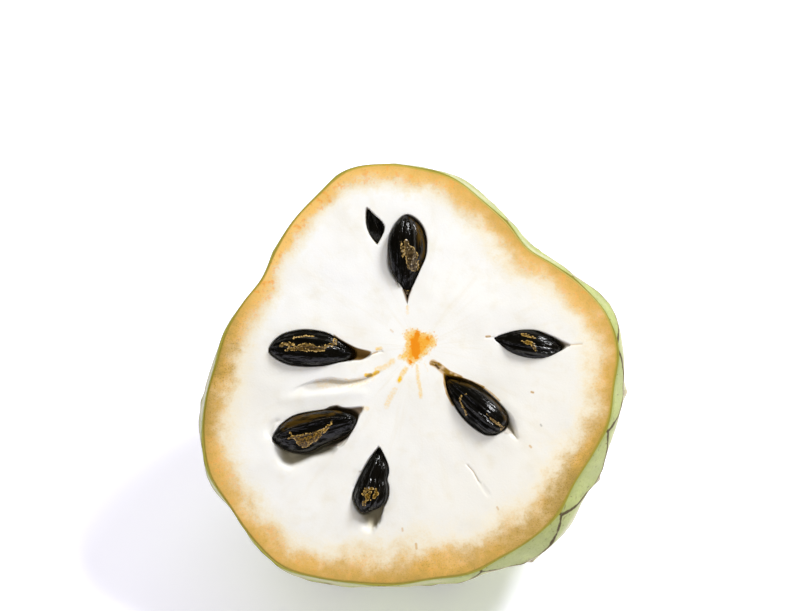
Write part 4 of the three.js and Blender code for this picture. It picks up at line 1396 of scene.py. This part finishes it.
# Colours by name: what each is for, and its sRGB hex value.
SWATCHES = {
    "flesh": ("The creamy white of the cut flesh", "#fafaf5"),
    "warm": ("The flesh's riper parts, and faint clouds", "#efede4"),
    "fibre": ("Faint fibres that run out from the core", "#e6dcc0"),
    "cream": ("Inner edge of the browned band", "#f3ebd4"),
    "peach": ("Inner part of the browned band", "#eed9ab"),
    "tan": ("Middle of the browned band", "#e6c07c"),
    "golden": ("Outer part of the browned band", "#d6a94a"),
    "deep_gold": ("The band next to the rind", "#b9983a"),
    "amber": ("The band where it is brightest", "#fdcf78"),
    "orange": ("Stained clumps of flesh under the rind", "#f2a640"),
    "speck": ("Brown grains in the band", "#b08f4a"),
    "olive_tan": ("Greyed patches of the band", "#a08a4a"),
    "edge_green": ("Thin line of green where flesh meets rind", "#a09426"),
    # Painted shade, laid by how deep the face lies.
    "pocket": ("The shaded flesh deep in the seeds' hollows", "#c2b487"),
    "core": ("The core's strong orange", "#ef9200"),
    "core_light": ("The core's edge and strands", "#f5b02a"),
    "core_pale": ("The faint orange round the core", "#f3c22c"),
    # It also tints the fold's painted shade.
    "strand": ("The faint strands that run out from the core", "#f6c610"),
    # It also paints shade in the fold and beside two seeds.
    "membrane": ("The brown skin that lines the seeds' hollows", "#6b4b04"),
    "thread": ("Golden threads of that skin", "#8a6504"),
    "thread_edge": ("The golden flesh beside a thread", "#cf9c22"),
    "stain": ("Small dark specks", "#4a3206"),
    "rind": ("The rind's yellow-green", "#b2c44e"),
    "rind_pale": ("Paler scales", "#ccd77c"),
    # Partly painted sheen on the rind beside the cut.
    "rind_sage": ("The greyer bloom of the rind beside the cut", "#a3a86c"),
    # Painted sheen, laid by the angle at which the rind is seen.
    "rind_dust": ("The pale dust that shows where the rind turns away", "#c6bc99"),
    "rind_olive": ("Riper, darker patches", "#8fa03c"),
    "rind_yellow": ("Sun-side patches", "#cdd06a"),
    "rind_cut": ("The rind's thin cut edge", "#a19a3a"),
    "cork": ("The dark brown seams between scales", "#4b3a1c"),
    "cork_halo": ("Brown that fades into the green beside a seam", "#7d6c3c"),
    "cork_grey": ("Greyed crest of a seam", "#a39781"),
    "scratch": ("Scratches and flecks", "#75683a"),
    "seed": ("The seed coat's near-black brown", "#090805"),
    "seed_worn": ("Browner, duller patches of the seed coat", "#120e08"),
    "flank": ("The brown skin that covers some flanks", "#47340f"),
    "flake": ("The golden-brown skin that clings to the seeds", "#7f5e0c"),
    # Pale scrap edges, and the colour of painted glints on the scraps.
    "flake_edge": ("The paler edges of those scraps", "#d6b268"),
    "flake_dark": ("Darker folds in them", "#2a1e08"),
    "flake_dull": ("The greyer, drier scraps", "#5c4f39"),
    # Painted glints on the dry scraps.
    "flake_glint": ("The whitest bits of the dry scraps", "#d9d3c3"),
    "floor": ("The pale floor", "#efeefe"),
}


def swatch(key):
    description, hex_colour = SWATCHES[key]
    return FloatVectorProperty(
        name=key.replace("_", " ").capitalize(), description=description, default=linear(hex_colour),
        subtype="COLOR", min=0, max=1)


class CustardColours(bpy.types.PropertyGroup):
    """Colours of the fruit and the floor."""

    __annotations__ = {key: swatch(key) for key in SWATCHES}


class CustardSizes(bpy.types.PropertyGroup):
    """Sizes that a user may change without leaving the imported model."""

    rind_at_cut: FloatProperty(
        name="Rind at the cut", description="Thickness of the rind where it is cut", default=0.4 * MM,
        unit="LENGTH")


class CustardLights(bpy.types.PropertyGroup):
    """Strength of the studio's lights."""

    key: FloatProperty(
        name="Key light", description="Power of the softbox high on the right", default=8.8, unit="POWER")
    fill: FloatProperty(
        name="Fill light", description="Power of the softbox on the left", default=1.8, unit="POWER")
    back: FloatProperty(
        name="Back light", description="Power of the softbox behind", default=3.0, unit="POWER")
    room: FloatProperty(name="Room light", description="Strength of the white room's light", default=0.38)


class CUSTARD_OT_stage(bpy.types.Operator):
    """Add the pale floor, the soft lights and the camera"""

    bl_idname = "custard.stage"
    bl_label = "Build Stage"

    def execute(self, context):
        build_stage(context.scene.custard_colours, context.scene.custard_lights)
        return {"FINISHED"}


class CUSTARD_OT_rind(bpy.types.Operator):
    """Build the scaly rind"""

    bl_idname = "custard.rind"
    bl_label = "Build Rind"

    def execute(self, context):
        build_rind(context.scene.custard_sizes, context.scene.custard_colours)
        return {"FINISHED"}


class CUSTARD_OT_flesh(bpy.types.Operator):
    """Build the flesh with its hollows, dents and core"""

    bl_idname = "custard.flesh"
    bl_label = "Build Flesh"

    def execute(self, context):
        build_flesh(context.scene.custard_sizes, context.scene.custard_colours)
        return {"FINISHED"}


class CUSTARD_OT_seeds(bpy.types.Operator):
    """Build the seven seeds"""

    bl_idname = "custard.seeds"
    bl_label = "Build Seeds"

    def execute(self, context):
        coat = seed_coat(context.scene.custard_colours)
        for name, seed in SEEDS.items():
            build_seed(name, seed, coat)
        return {"FINISHED"}


class CUSTARD_PT_panel(bpy.types.Panel):
    """Lists what can be built, in order"""

    bl_label = "Custard Apple"
    bl_idname = "CUSTARD_PT_panel"
    bl_space_type = "VIEW_3D"
    bl_region_type = "UI"
    bl_category = "Custard Apple"

    def draw(self, context):
        for operator in OPERATORS:
            self.layout.operator(operator.bl_idname)
        scene = context.scene
        for group in (scene.custard_sizes, scene.custard_lights, scene.custard_colours):
            box = self.layout.box()
            for key in group.__annotations__:
                box.prop(group, key)


OPERATORS = (CUSTARD_OT_stage, CUSTARD_OT_rind, CUSTARD_OT_flesh, CUSTARD_OT_seeds)
CLASSES = (CustardColours, CustardSizes, CustardLights, *OPERATORS, CUSTARD_PT_panel)


def register():
    for cls in CLASSES:
        bpy.utils.register_class(cls)
    bpy.types.Scene.custard_colours = PointerProperty(type=CustardColours)
    bpy.types.Scene.custard_sizes = PointerProperty(type=CustardSizes)
    bpy.types.Scene.custard_lights = PointerProperty(type=CustardLights)


def unregister():
    del bpy.types.Scene.custard_lights
    del bpy.types.Scene.custard_sizes
    del bpy.types.Scene.custard_colours
    for cls in reversed(CLASSES):
        bpy.utils.unregister_class(cls)


def main():
    register()
    bpy.ops.custard.stage()
    bpy.ops.custard.rind()
    bpy.ops.custard.flesh()
    bpy.ops.custard.seeds()


if __name__ == "__main__":
    main()
